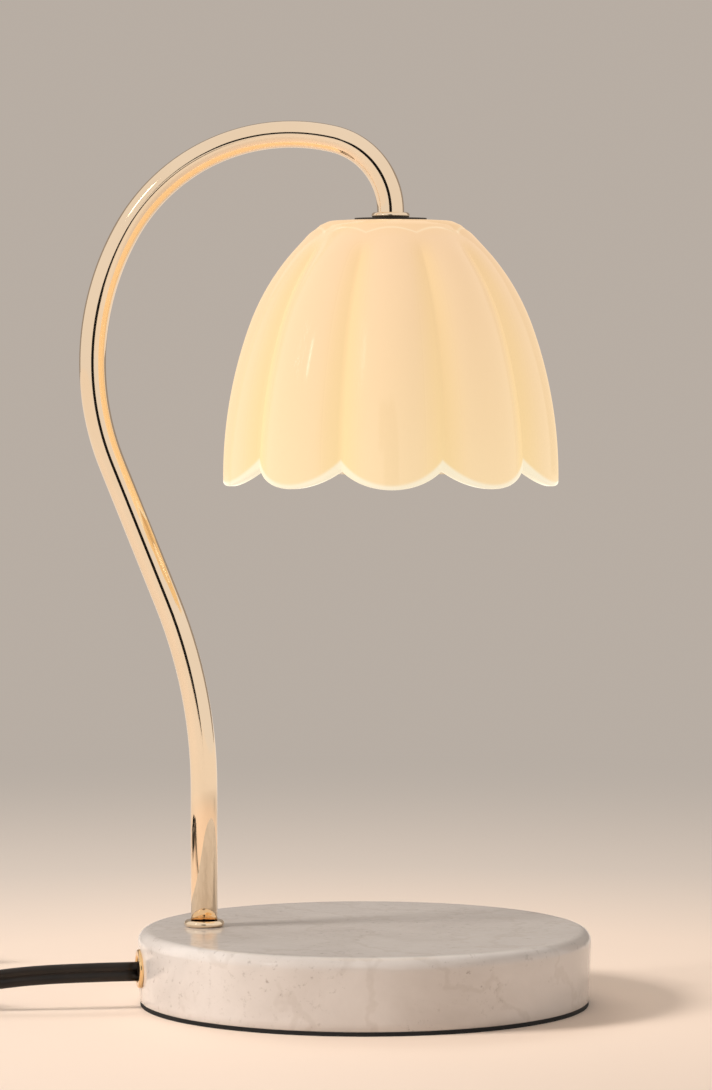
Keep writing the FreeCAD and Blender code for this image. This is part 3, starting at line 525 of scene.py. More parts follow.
foot_place = middle_of("arm_flange")
foot_place.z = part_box("arm_flange")[0].z
head_place = middle_of("shade_collar")
head_place.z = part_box("shade_collar")[0].z


def half_round_ring(name, node, inner, place):
    """A ring whose outer edge is a half circle, like the foot ring and the collar."""
    low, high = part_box(node)
    outer, thick = (high.x - low.x) / 2 / MM, (high.z - low.z) / MM
    half = thick / 2
    outline = [(inner, 0.0)] + arc((outer - half, half), half, -90, 90, 12) + [(inner, thick)]
    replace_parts(turned(name, outline, place, brass), node)


TUBE_RADIUS = 5.0
TUBE_BORE = 4.0
FIT_GAP = 0.05
half_round_ring("foot_ring", "arm_flange", TUBE_RADIUS + FIT_GAP, foot_place)
half_round_ring("collar", "shade_collar", TUBE_RADIUS + FIT_GAP, head_place)
print("foot ring and collar turned")

# %% [markdown]
# The arm is one tube, 10 mm thick, bent in one upright plane. It stands straight, leans back,
# comes over in three arcs that tighten, and goes straight down into the shade. Its line is made
# of the same runs and arcs as the bender would use, and the section is turned to stay square to it.

# %% Arm
ARM_RISE = 51.9
ARM_BENDS = [("arc", 186.5, -22.0), ("run", 55.9, 0),
             ("arc", 100.4, 51.0), ("arc", 71.0, 74.0), ("arc", 27.6, 77.0)]
TUBE_OVERHANG = 1.2
tube_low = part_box("arm_tube")[0].z / MM
tube_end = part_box("holder_nut")[0].z / MM - TUBE_OVERHANG


def bend_line(steps, start_height, step_degrees=1.5):
    """Places (along, up) and headings of a line that starts upright, from runs and arcs."""
    along, up, heading = 0.0, start_height, 0.0
    line = [(along, up, heading)]
    for kind, amount, degrees in steps:
        if kind == "run":
            along += amount * math.sin(heading)
            up += amount * math.cos(heading)
            line.append((along, up, heading))
            continue
        pieces = max(2, int(abs(degrees) / step_degrees))
        turn = math.radians(degrees) / pieces
        chord = 2 * amount * math.sin(abs(turn) / 2)
        for _ in range(pieces):
            along += chord * math.sin(heading + turn / 2)
            up += chord * math.cos(heading + turn / 2)
            heading += turn
            line.append((along, up, heading))
    return line


def make_arm(around=72):
    """The tube's skin, outside and inside, along the bent line, closed at both ends."""
    steps = [("run", foot_place.z / MM + ARM_RISE - tube_low, 0)] + ARM_BENDS
    line = bend_line(steps, tube_low)
    line += [(line[-1][0], tube_end, line[-1][2])]
    way = head_place - foot_place
    way.z = 0
    way.normalize()
    aside = way.cross(UP)
    ground = Vector((foot_place.x, foot_place.y, 0))
    vertices = []
    for radius in (TUBE_RADIUS, TUBE_BORE):
        for along, up, heading in line:
            centre = ground + way * along * MM + Vector((0, 0, up * MM))
            out = way * math.cos(heading) - UP * math.sin(heading)
            for number in range(around):
                angle = 2 * math.pi * number / around
                vertices.append(centre + (out * math.cos(angle) - aside * math.sin(angle)) * radius * MM)
    inner = len(line) * around
    inside = [tuple(reversed(face)) for face in ring_faces(len(line), around, inner)]
    faces = ring_faces(len(line), around) + inside
    for ring, flip in ((0, True), (len(line) - 1, False)):
        for number in range(around):
            after = (number + 1) % around
            a, b = ring * around + number, ring * around + after
            face = (a, b, b + inner, a + inner)
            faces.append(tuple(reversed(face)) if flip else face)
    print("arm: %d rings, ends %.1f mm out from its foot" % (len(line), line[-1][0]))
    return new_piece("arm", vertices, faces, brass)


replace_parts(make_arm(), "arm_tube")

# %% [markdown]
# The ring round the cord is turned from the same brass in a deeper tone, painted to stand for the warm
# floor that it reflects, and sits a little proud of the stone. Its face is rounded, so it catches a bright
# line all the way round. Its short tube goes into the base.

# %% Cord ring
RING_OUTER = 7.25
RING_TUBE = 6.0
RING_HOLE = 4.7
RING_PROUD = 1.6
RING_LENGTH = 9.0
RING_ROUND = 0.8
ring_outline = [(RING_HOLE, -RING_LENGTH), (RING_TUBE, -RING_LENGTH), (RING_TUBE, 0.0), (RING_OUTER, 0.0)]
ring_outline += arc((RING_OUTER - RING_ROUND, RING_ROUND), RING_ROUND, 0, 90, 6)
ring_outline += arc((RING_HOLE + RING_ROUND, RING_ROUND), RING_ROUND, 90, 180, 6)
ring_place = exit_way * (EXIT_FROM_MIDDLE - RING_PROUD) * MM
ring_place.z = middle_of("cord_grommet").z
lay_level = UP.rotation_difference(exit_way).to_matrix()
cord_ring = turned("cord_ring", ring_outline, ring_place, brass_with_painted_floor_reflection, tilt=lay_level)
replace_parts(cord_ring, "cord_grommet")
print("the cord leaves its ring at", [round(v) for v in cord_exit], "mm")

# %% [markdown]
# The base is a disc of pale warm marble with a soft rounded top edge and slightly tapered side.
# Polished marble has three layers to it: broad clouds of grey, thin soft veins, and fine dark
# crystals. Each is a pattern of its own size, and they are mixed one over the other.

# %% Marble
def mixed(material, share, one, other, blend="MIX"):
    """Two colours mixed by a share; each may be a socket or a plain colour."""
    made = add_node(material, "ShaderNodeMix", {"data_type": "RGBA", "blend_type": blend})
    for socket, value in ((0, share), (6, one), (7, other)):
        if isinstance(value, bpy.types.NodeSocket):
            link(material, value, made.inputs[socket])
        else:
            made.inputs[socket].default_value = value if socket == 0 else (*value, 1.0)
    return made.outputs[2]


WHITE = (1, 1, 1)
BLACK = (0, 0, 0)
VEIN_SHARE = 0.7


def marble_finish():
    material, shader = new_finish("marble", Specular_IOR_Level=0.5, Coat_Weight=0.35, Coat_Roughness=0.06)
    clouds = ramp(material, noise(material, scale=22, detail=6, roughness=0.6, distortion=0.4),
                  [(0.22, (0.51, 0.46, 0.425)), (0.5, (0.61, 0.56, 0.525)), (0.8, (0.69, 0.64, 0.605))])
    crystals = noise(material, scale=420, detail=4, roughness=0.7)
    fleck = ramp(material, crystals, [(0.30, (0.64, 0.61, 0.59)), (0.42, WHITE)])
    sparse = ramp(material, noise(material, scale=40), [(0.36, WHITE), (0.58, BLACK)])
    wander = add_node(material, "ShaderNodeTexWave", {"wave_type": "BANDS", "bands_direction": "DIAGONAL"},
                      Vector=place_on(material), Scale=9.0, Distortion=16.0, Detail=5.0, Detail_Scale=1.4,
                      Detail_Roughness=0.62)
    vein = ramp(material, wander.outputs["Fac"], [(0.0, (0.90, 0.885, 0.87)), (0.09, WHITE), (1.0, WHITE)])
    flecked = mixed(material, sparse, clouds, fleck, "MULTIPLY")
    link(material, mixed(material, VEIN_SHARE, flecked, vein, "MULTIPLY"), shader.inputs["Base Color"])
    roughened(material, shader, crystals, 0.10, 0.22)
    bumped(material, shader, crystals, height=0.000012)
    return material


marble = marble_finish()
print("finish:", marble.name)

# %% [markdown]
# The disc is turned like the rings. Its edge is one arc, and the rows of points next to the arc
# and to the tiny bevel at the foot keep the flat top, the side and the underside straight. LOW_ROW
# and HIGH_ROW each give a share of the side's taper and a distance from the foot or the top.

# %% Base
STONE_ROUND = 4.5
STONE_DRAFT = 0.8
FOOT_BEVEL = 0.35
FOOT_ROW = 4.0
LOW_ROW = (0.1, 3.0)
HIGH_ROW = (0.15, 7.0)
TOP_ROW = 2.0
INNER_ROW = 40.0
stone_low, stone_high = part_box("base_stone")
stone_radius = (stone_high.x - stone_low.x) / 2 / MM
stone_thick = (stone_high.z - stone_low.z) / MM
foot_radius = stone_radius - STONE_DRAFT
stone_outline = [(0.0, 0.0), (foot_radius - FOOT_ROW, 0.0)]
stone_outline += [(foot_radius - FOOT_BEVEL, 0.0), (foot_radius, FOOT_BEVEL)]
stone_outline += [(foot_radius + STONE_DRAFT * LOW_ROW[0], LOW_ROW[1])]
stone_outline += [(stone_radius - STONE_DRAFT * HIGH_ROW[0], stone_thick - HIGH_ROW[1])]
stone_outline += arc((stone_radius - STONE_ROUND, stone_thick - STONE_ROUND), STONE_ROUND, 0, 90, 14)
stone_outline += [(stone_radius - STONE_ROUND - TOP_ROW, stone_thick)]
stone_outline += [(INNER_ROW, stone_thick), (0.0, stone_thick)]
stone = turned("stone_base", stone_outline, Vector((0, 0, stone_low.z)), marble, around=224)
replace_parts(stone, "base_stone")
welded("base_pad", foam_black)
print("base: radius %.1f mm, %.1f mm thick" % (stone_radius, stone_thick))


# %% [markdown]
# The shade follows a rule: ten equal petals round one axis. So one petal is made by formula, and a
# geometry nodes tree sets ten of them round the axis and joins their edges. The outline is two
# arcs that end in a short straight hem. Each petal swells between two grooves, starts under a
# small arch on the shoulder, and ends in a round lobe. The wall has its real thickness, with an
# inner side and a cut edge, because light through glass shows it.

# %% Shade outline
SHADE_RADIUS = 62.2
SHADE_HEIGHT = 98.3
SHADE_STRAIGHT = 3.3
LOW_RADIUS = 165.0
LOW_ANGLE = math.radians(19.6)
TOP_RADIUS = 23.6
GLASS_WALL = 3.3
TOP_WALL = 4.0
LOBE_RADIUS = 31.0
PETALS = 10
PETAL_CREST = 0.026
PETAL_VALLEY = 0.043
ARCH_DEPTH = 2.6
ARCH_RISE = 2.0
PETAL_FADE = 11.0
LIP = 0.42
LIP_RISE = 1.1
LIP_FADE = 9.0
half_petal = math.pi / PETALS

straight_from = SHADE_HEIGHT - SHADE_STRAIGHT
low_middle = (SHADE_RADIUS - LOW_RADIUS, straight_from)
out_way = (math.cos(LOW_ANGLE), -math.sin(LOW_ANGLE))
joint = (low_middle[0] + LOW_RADIUS * out_way[0], low_middle[1] + LOW_RADIUS * out_way[1])
to_top = (TOP_RADIUS - joint[0], -joint[1])
HIGH_RADIUS = -(to_top[0] ** 2 + to_top[1] ** 2) / (2 * (to_top[0] * out_way[0] + to_top[1] * out_way[1]))
high_middle = (joint[0] - HIGH_RADIUS * out_way[0], joint[1] - HIGH_RADIUS * out_way[1])
print("upper arc of the shade: radius %.1f mm" % HIGH_RADIUS)


def mean_radius(down):
    """The glass's mean outer radius at a depth below the top."""
    if down >= straight_from:
        return SHADE_RADIUS
    centre, radius = (low_middle, LOW_RADIUS) if down >= joint[1] else (high_middle, HIGH_RADIUS)
    return centre[0] + math.sqrt(radius ** 2 - (centre[1] - down) ** 2)


def eased(value):
    """A smooth step from 0 to 1."""
    value = min(max(value, 0.0), 1.0)
    return value * value * (3 - 2 * value)


def petal_radius(down, angle, inner):
    """The radius at a depth and an angle from the petal's middle: an arc from groove to groove."""
    mean = mean_radius(down)
    begin = ARCH_DEPTH + ARCH_RISE * (angle / half_petal) ** 2
    share = eased((down - begin) / PETAL_FADE)
    crest, valley = mean * (1 + PETAL_CREST * share), mean * (1 - PETAL_VALLEY * share)
    half_width, rise = valley * math.sin(half_petal), crest - valley * math.cos(half_petal)
    bow = (half_width ** 2 + rise ** 2) / (2 * rise)
    offset = crest - bow
    radius = offset * math.cos(angle) + math.sqrt(bow ** 2 - (offset * math.sin(angle)) ** 2)
    if inner:
        return radius - GLASS_WALL
    past_lip = down - begin - LIP_RISE
    return radius + LIP * eased((down - begin) / LIP_RISE) * (1 - eased(past_lip / LIP_FADE))


def hem_depth(angle, radius):
    """How far down the petal's round lobe reaches at an angle."""
    across = radius * math.sin(angle)
    return SHADE_HEIGHT - LOBE_RADIUS + math.sqrt(LOBE_RADIUS ** 2 - across ** 2)


# %% [markdown]
# One petal is a row of columns, each a closed line round the glass at one angle: down the outside, round
# the hem and up the inside. Its mesh also carries three values for the finish: how deep in a groove a point
# lies, how near to the painted highlight line under the arch, and how near to the edge of the lobe where
# the painted glow is brightest. The rows lie close together where the surface turns: round the top, at the
# arch and at the hem.

# %% One petal
RIM = [(9.0, 0.0), (13.4, 0.02), (18.0, 0.12), (21.4, 0.3), (22.7, 0.5), (23.7, 0.85), (24.6, 1.3)]
RIM_DEPTH = 1.9
ROWS = 56
COLUMNS = 28
HEM_ROUND = 0.9
HEM_ROWS = [5.0, 4.3, 3.7, 3.1, 2.5, 1.9, 1.4]
HEM_TURNS = [22.5, 45.0, 67.5, 90.0]
INNER_EDGE = [(0.5, 0.0), (0.12, 0.14)]
INNER_FROM = 0.5
INNER_PACE = 1.15
TOP_RING = 15.0
ARCH_ROWS = 22
ARCH_END = 9.0
BRIGHT_EDGE = 1.5
BRIGHT_CORNER = 2.4
BRIGHT_SOFT = 0.7
GROOVE_FROM = 0.4
ARCH_HIGHLIGHT_LINE = 0.6
ARCH_HIGHLIGHT_SOFT = 0.5
ABOVE_ARCH = 0.6


def petal_column(angle):
    """The closed line round the glass at one angle, from the top hole on: (radius, depth, rim)."""
    hole = TUBE_RADIUS + FIT_GAP
    line = [(hole, 0.0, 0.0)] + [(radius, depth, 0.0) for radius, depth in RIM]
    end = hem_depth(angle, mean_radius(SHADE_HEIGHT))
    last_row = end - HEM_ROWS[0]
    depths = [RIM_DEPTH + (ARCH_END - RIM_DEPTH) * row / ARCH_ROWS for row in range(ARCH_ROWS)]
    depths += [ARCH_END + (last_row - ARCH_END) * row / ROWS for row in range(ROWS)]
    depths += [end - above for above in HEM_ROWS] + [end - HEM_ROUND]
    bright = BRIGHT_EDGE + BRIGHT_CORNER * (abs(angle) / half_petal) ** 2
    for depth in depths:
        rim = eased((bright + BRIGHT_SOFT - (end - depth)) / (2 * BRIGHT_SOFT))
        line.append((petal_radius(depth, angle, False), depth, rim))
    outer, inner = line[-1][0], petal_radius(end, angle, True)
    for turn in HEM_TURNS:
        out = math.radians(turn)
        line.append((outer - HEM_ROUND * (1 - math.cos(out)), end - HEM_ROUND * (1 - math.sin(out)), 1.0))
    line += [(inner + past, end - above, 1.0) for past, above in INNER_EDGE]
    for row in reversed(range(ROWS)):
        depth = TOP_WALL + (end - INNER_FROM - TOP_WALL) * (row / (ROWS - 1)) ** INNER_PACE
        line.append((petal_radius(depth, angle, True), depth, 0.0))
    line += [(TOP_RING, TOP_WALL, 0.0), (hole, TOP_WALL, 0.0)]
    return line


def petal_mesh():
    """One petal, with the three values that its finish reads."""
    shares = [2 * number / COLUMNS - 1 for number in range(COLUMNS + 1)]
    columns = [petal_column(half_petal * across) for across in shares]
    vertices, faces = [], []
    values = {"groove": [], "arch": [], "rim": []}
    for across, column in zip(shares, columns):
        angle = half_petal * across - math.pi / 2
        begin = ARCH_DEPTH + ARCH_RISE * across ** 2
        in_groove = eased((abs(across) - GROOVE_FROM) / (1 - GROOVE_FROM))
        for radius, depth, rim in column:
            vertices.append((radius * math.cos(angle) * MM, radius * math.sin(angle) * MM, -depth * MM))
            # A painted highlight line runs along each petal's arch, a little below where the petal starts.
            on_arch_highlight = math.exp(-((depth - begin - ARCH_HIGHLIGHT_LINE) / ARCH_HIGHLIGHT_SOFT) ** 2)
            values["groove"].append(in_groove * eased((depth - begin) / PETAL_FADE))
            values["arch"].append(on_arch_highlight - ABOVE_ARCH * eased(begin - depth))
            values["rim"].append(rim)
    count = len(columns[0])
    for number in range(COLUMNS):
        for row in range(count):
            after = (row + 1) % count
            a, b = number * count, (number + 1) * count
            faces.append((a + row, a + after, b + after, b + row))
    mesh = bpy.data.meshes.new("petal")
    mesh.from_pydata(vertices, [], faces)
    for name, numbers in values.items():
        mesh.attributes.new(name, "FLOAT", "POINT").data.foreach_set("value", numbers)
    return mesh


petal = petal_mesh()
print("one petal: %d points, %d faces" % (len(petal.vertices), len(petal.polygons)))

# %% [markdown]
# Copies round an axis are quick work for geometry nodes: a line of points that all lie on the
# axis, one copy of the sector on each, turned by its number's share of a full circle. The copies
# are made real and their edges are joined into one skin. The shade and the knob share this tree.

# %% Setting copies round an axis
def around_axis_tree():
    """Geometry nodes: copies of a mesh round Z, made real, joined at their edges, with a finish."""
    tree = bpy.data.node_groups.new("copies_round_axis", "GeometryNodeTree")
    inputs = {"Geometry": "Geometry", "Copies": "Int", "Join Distance": "Float", "Finish": "Material"}
    for name, kind in inputs.items():
        tree.interface.new_socket(name, in_out="INPUT", socket_type="NodeSocket" + kind)
    tree.interface.new_socket("Geometry", in_out="OUTPUT", socket_type="NodeSocketGeometry")
    nodes = tree.nodes
    entry, leave = nodes.new("NodeGroupInput"), nodes.new("NodeGroupOutput")
    spots = nodes.new("GeometryNodeMeshLine")
    spots.inputs["Offset"].default_value = (0, 0, 0)
    index = nodes.new("GeometryNodeInputIndex")
    step = nodes.new("ShaderNodeMath")
    step.operation = "DIVIDE"
    step.inputs[0].default_value = 2 * math.pi
    turn = nodes.new("ShaderNodeMath")
    turn.operation = "MULTIPLY"
    about = nodes.new("ShaderNodeCombineXYZ")
    copies = nodes.new("GeometryNodeInstanceOnPoints")
    real = nodes.new("GeometryNodeRealizeInstances")
    joined = nodes.new("GeometryNodeMergeByDistance")
    finish = nodes.new("GeometryNodeSetMaterial")
    wires = [
        (entry.outputs["Copies"], spots.inputs["Count"]),
        (entry.outputs["Copies"], step.inputs[1]),
        (index.outputs[0], turn.inputs[0]),
        (step.outputs[0], turn.inputs[1]),
        (turn.outputs[0], about.inputs["Z"]),
        (spots.outputs["Mesh"], copies.inputs["Points"]),
        (entry.outputs["Geometry"], copies.inputs["Instance"]),
        (about.outputs[0], copies.inputs["Rotation"]),
        (copies.outputs[0], real.inputs[0]),
        (real.outputs[0], joined.inputs["Geometry"]),
        (entry.outputs["Join Distance"], joined.inputs["Distance"]),
        (joined.outputs[0], finish.inputs["Geometry"]),
        (entry.outputs["Finish"], finish.inputs["Material"]),
        (finish.outputs[0], leave.inputs[0]),
    ]
    for source, target in wires:
        tree.links.new(source, target)
    return tree


JOIN_DISTANCE = 0.00001
copies_tree = around_axis_tree()


def repeat_around(name, mesh, copies, material, place, body="lamp"):
    """A plain mesh piece of so many copies of a sector, in its place."""
    carrier = bpy.data.objects.new(name + "_carrier", mesh)
    modifier = carrier.modifiers.new("copies", "NODES")
    modifier.node_group = copies_tree
    values = {"Copies": copies, "Join Distance": JOIN_DISTANCE, "Finish": material}
    for item in copies_tree.interface.items_tree:
        if item.in_out == "INPUT" and item.name in values:
            modifier[item.identifier] = values[item.name]
    result = plain_mesh(carrier)
    result.name = name
    result.transform(Matrix.Translation(place))
    piece = piece_from(name, result, body)
    print("%s: %d copies, %d faces" % (name, copies, len(result.polygons)))
    return piece


# %% [markdown]
# Opal glass is milky all through, so a bulb behind it makes the whole wall glow. Here that glow is painted
# light in the finish: it is yellower in the grooves, where two petals meet, stronger towards the hem, and
# brightest along the edge of each lobe. At least half of it, ARCH_SHARE, is the tone of a painted highlight
# line along the arch, and along that line it is nearly all. The gloss on top is the glass's own skin.

# %% Opal glass
GLOW = [(0.0, (0.82, 0.62, 0.325)), (0.3, (0.79, 0.56, 0.285)), (0.75, (0.76, 0.485, 0.26)),
        (0.93, (0.72, 0.43, 0.235)), (0.97, (0.71, 0.41, 0.185)), (1.0, (0.67, 0.38, 0.155))]
ROSY = (1.0, 0.965, 0.95)
YELLOW = (1.0, 0.99, 0.80)
ARCH_HIGHLIGHT_TONE = (0.74, 0.56, 0.34)
ARCH_SHARE = 0.5
EDGE_TONE = (0.79, 0.72, 0.54)


def carried(material, name):
    """A value that the mesh carries, as a socket."""
    return add_node(material, "ShaderNodeAttribute", {"attribute_name": name}).outputs["Fac"]


def opal_finish(low, high):
    """Glowing glass between two heights."""
    material, shader = new_finish("opal_glass", Specular_IOR_Level=0.42, Emission_Strength=1.0)
    groove, arch, rim = (carried(material, name) for name in ("groove", "arch", "rim"))
    roughened(material, shader, groove, 0.11, 0.55)
    coloured(material, shader, groove, [(0.0, (0.20, 0.15, 0.10)), (1.0, (0.20, 0.15, 0.08))])
    split = add_node(material, "ShaderNodeSeparateXYZ", Vector=place_on(material))
    height = add_node(material, "ShaderNodeMapRange", Value=split.outputs["Z"], From_Min=low, From_Max=high)
    glow = ramp(material, height.outputs["Result"], GLOW)
    rosy = mixed(material, 1.0, glow, ROSY, "MULTIPLY")
    cloudy = mixed(material, noise(material, scale=30, detail=2), glow, rosy)
    yellow = mixed(material, 1.0, cloudy, YELLOW, "MULTIPLY")
    valley = mixed(material, groove, cloudy, yellow)
    # The painted highlight along the arch is mixed into the painted glow here.
    share = add_node(material, "ShaderNodeMath", {"operation": "MAXIMUM"}, Value=arch)
    share.inputs[1].default_value = ARCH_SHARE
    arch_highlighted = mixed(material, share.outputs[0], valley, ARCH_HIGHLIGHT_TONE)
    link(material, mixed(material, rim, arch_highlighted, EDGE_TONE), shader.inputs["Emission Color"])
    return material


shade_low, shade_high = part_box("shade")
opal = opal_finish(shade_low.z, shade_high.z)
shade_top = Vector((head_place.x, head_place.y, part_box("shade_washer")[0].z))
shade = repeat_around("petal_shade", petal, PETALS, opal, shade_top)
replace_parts(shade, "shade")
print("shade spans", [round(v / MM, 1) for v in shade_low], [round(v / MM, 1) for v in shade_high])


# %% [markdown]
# What holds the shade and the bulb: washers and nuts on the tube's thread, a metal cup with a
# porcelain socket in it, and a reflector bulb with two pins. Seen from below it all shows, so
# each has its own finish.

# %% Porcelain, glass and reflector
def porcelain_finish():
    material, shader = new_finish("porcelain", Specular_IOR_Level=0.5)
    coloured(material, shader, noise(material, scale=120),
             [(0.3, (0.76, 0.73, 0.68)), (0.7, (0.84, 0.81, 0.76))])
    roughened(material, shader, noise(material, scale=300), 0.3, 0.5)
    bumped(material, shader, noise(material, scale=1200), height=0.00002)
    return material


def cells(material, scale):
    """A pattern of small cells, like pressed facets."""
    return add_node(material, "ShaderNodeTexVoronoi", Vector=place_on(material), Scale=scale).outputs


def lens_finish():
    material, shader = new_finish("pressed_glass", Transmission_Weight=0.6, IOR=1.45,
                                  Emission_Strength=0.3, Emission_Color=(1.0, 0.80, 0.50, 1.0))
    facets = cells(material, 420)["Distance"]
    coloured(material, shader, facets, [(0.0, (0.95, 0.90, 0.80)), (0.6, (0.85, 0.78, 0.66))])
    roughened(material, shader, facets, 0.08, 0.2)
    bumped(material, shader, facets, height=0.0003)
    return material


def reflector_finish():
    material, shader = new_finish("mirrored_glass", Metallic=0.85)
    facets = cells(material, 260)
    coloured(material, shader, facets["Color"], [(0.0, (0.70, 0.66, 0.58)), (1.0, (0.88, 0.84, 0.76))])
    roughened(material, shader, noise(material, scale=200), 0.12, 0.24)
    bumped(material, shader, facets["Distance"], height=0.0004)
    return material


def capsule_finish():
    material, shader = new_finish("capsule_glow", Roughness=0.2,
                                  Emission_Strength=0.7, Emission_Color=(1.0, 0.82, 0.52, 1.0))
    coloured(material, shader, noise(material, scale=150),
             [(0.3, (0.92, 0.85, 0.70)), (0.7, (1.0, 0.94, 0.82))])
    return material


def core_finish(name, colour):
    """The coloured insulation of one of the cord's two cores."""
    material, shader = new_finish(name, Roughness=0.35)
    pale = tuple(min(channel * 1.25, 1.0) for channel in colour)
    coloured(material, shader, noise(material, scale=200), [(0.3, colour), (0.7, pale)])
    return material


porcelain = porcelain_finish()
seal_pale = textured_plastic("seal_pale", (0.42, 0.42, 0.40), 400, 0.4)
core_brown = core_finish("core_brown", (0.16, 0.07, 0.03))
core_blue = core_finish("core_blue", (0.03, 0.08, 0.25))
print("finishes:", porcelain.name, seal_pale.name, core_brown.name, core_blue.name)

# %% Holder and bulb
HOLDER = [
    ("shade_washer", washer_black, "black_washer"),
    ("shade_seal", seal_pale, "silicone_seal"),
    ("shade_nut", zinc, "zinc_steel"),
    ("holder_cup", gold_lacquer, "cup_metal"),
    ("holder_nut", zinc, "zinc_steel"),
    ("holder_ceramic", porcelain, "white_ceramic"),
    ("holder_contacts", bronze, "contact_bronze"),
    ("base_washer", zinc, "zinc_steel"),
    ("base_nut", zinc, "zinc_steel"),
    ("cord_stop", nylon_black, "nylon"),
    ("cord_inner", cord_black, "cord_pvc"),
    ("core_live", core_brown, "core_pvc"),
    ("core_neutral", core_blue, "core_pvc"),
]
BULB = [
    ("bulb_base", porcelain, "white_ceramic"),
    ("bulb_reflector", reflector_finish(), "reflector_glass"),
    ("bulb_lens", lens_finish(), "lamp_glass"),
    ("bulb_capsule", capsule_finish(), "lamp_glass"),
    ("bulb_pins", zinc, "zinc_steel"),
]
for node, finish, slot in HOLDER:
    welded(node, finish)
for node, finish, slot in BULB:
    welded(node, finish, "bulb")
print(len(HOLDER), "pieces of the holder and", len(BULB), "of the bulb")

# %% [markdown]
# The dimmer's knob has shallow flutes for the fingers, so it is made like the shade: one sector
# by formula, and the same tree sets it round the axis. Its top is a shallow dish.

# %% Knob
FLUTES = 24
FLUTE_DEPTH = 0.45
FLUTE_REACH = 1.2
SHAFT_RADIUS = 3.0
SKIRT_LIFT = 0.3
SKIRT_BEVEL = (0.6, 0.5)
KNOB_ROUND = 1.5
ROUND_FROM = 20
TOP_EDGE = 0.1
DISH_OUTER = 2.6
DISH_SLOPE = (3.2, 0.35)
DISH_FLOOR = (2.0, 0.45)


def knob_sector(columns=6):
    """One flute's share of the knob, from the middle of its underside to the middle of its top."""
    low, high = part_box("dimmer_knob")
    radius, total = (high.x - low.x) / 2 / MM, (high.z - low.z) / MM
    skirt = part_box("dimmer_upper")[1].z / MM + SKIRT_LIFT - low.z / MM
    profile = [(0.0, 0.0), (SHAFT_RADIUS, 0.0), (SHAFT_RADIUS, skirt)]
    profile += [(radius - SKIRT_BEVEL[0], skirt), (radius, skirt + SKIRT_BEVEL[1])]
    profile += [(radius, total - KNOB_ROUND)]
    profile += arc((radius - KNOB_ROUND, total - KNOB_ROUND), KNOB_ROUND, ROUND_FROM, 90, 5)
    profile += [(radius - DISH_OUTER, total), (radius - DISH_SLOPE[0], total - DISH_SLOPE[1])]
    profile += [(DISH_FLOOR[0], total - DISH_FLOOR[1]), (0.0, total - DISH_FLOOR[1])]
    half = math.pi / FLUTES
    vertices, faces = [], []
    for column in range(columns + 1):
        angle = half * (2 * column / columns - 1)
        hollow = FLUTE_DEPTH * math.cos(angle / half * math.pi / 2) ** 2
        for spot, height in profile:
            fluted = spot > radius - FLUTE_REACH and height < total - TOP_EDGE
            out = spot - (hollow if fluted else 0.0)
            vertices.append((out * math.cos(angle) * MM, out * math.sin(angle) * MM, height * MM))
    count = len(profile)
    for column in range(columns):
        for row in range(count - 1):
            a, b = column * count + row, (column + 1) * count + row
            faces.append((a, b, b + 1, a + 1))
    mesh = bpy.data.meshes.new("knob_sector")
    mesh.from_pydata(vertices, [], faces)
    return mesh


knob_place = middle_of("dimmer_knob")
knob_place.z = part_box("dimmer_knob")[0].z
knob = repeat_around("fluted_knob", knob_sector(), FLUTES, knob_black, knob_place, "knob")
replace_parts(knob, "dimmer_knob")

# %% [markdown]
# The stage is a plain floor that fades from a pale peach under the lamp to a warm grey further away, as the
# backdrop in the picture does. The peach near the lamp is partly the paper's tone and partly painted light:
# the warm glow of the lit shade on the floor. The fade is painted by distance on the floor itself, so it
# stays put from every side. The sky behind it has the same grey.

# %% Stage
FLOOR_RADIUS = 9.0
PAPER_AND_GLOW_REACH = 2.0
FADE_FROM = 0.08
FADE_TO = 1.0
# The peach near the lamp is partly painted warm light from the lit shade.
PAPER_AND_LAMP_GLOW = [(0.0, (0.90, 0.74, 0.62)), (0.11, (0.89, 0.73, 0.61)), (0.22, (0.74, 0.64, 0.56)),
         (1.0, (0.60, 0.53, 0.47))]
WALL_COLOUR = (0.478, 0.420, 0.368)
WALL_IN_MIRRORS = (0.95, 0.84, 0.74)


def floor_finish():
    """Paper whose peach near the lamp is partly painted warm light from the lit shade, fading with distance
    into the plain colour of the wall.
    """
    material, shader = new_finish("backdrop_paper_and_lamp_glow", Roughness=0.6, Specular_IOR_Level=0.2)
    away = add_node(material, "ShaderNodeVectorMath", {"operation": "LENGTH"}, Vector=place_on(material))
    distance = away.outputs["Value"]
    share = add_node(material, "ShaderNodeMapRange", Value=distance, From_Min=0.0, From_Max=PAPER_AND_GLOW_REACH)
    coloured(material, shader, share.outputs["Result"], PAPER_AND_LAMP_GLOW)
    seen_by = add_node(material, "ShaderNodeLightPath").outputs["Is Glossy Ray"]
    wall = add_node(material, "ShaderNodeEmission",
                    Color=mixed(material, seen_by, WALL_COLOUR, WALL_IN_MIRRORS))
    fade = add_node(material, "ShaderNodeMapRange", {"interpolation_type": "SMOOTHSTEP"},
                    Value=distance, From_Min=FADE_FROM, From_Max=FADE_TO)
    both = add_node(material, "ShaderNodeMixShader", Fac=fade.outputs["Result"])
    link(material, shader.outputs[0], both.inputs[1])
    link(material, wall.outputs[0], both.inputs[2])
    link(material, both.outputs[0], material.node_tree.nodes["Material Output"].inputs["Surface"])
    return material


bpy.ops.mesh.primitive_circle_add(vertices=96, radius=FLOOR_RADIUS, fill_type="NGON")
floor = bpy.context.object
floor.name = "floor"
floor.data.materials.append(floor_finish())
print("floor: radius %.0f m" % FLOOR_RADIUS)

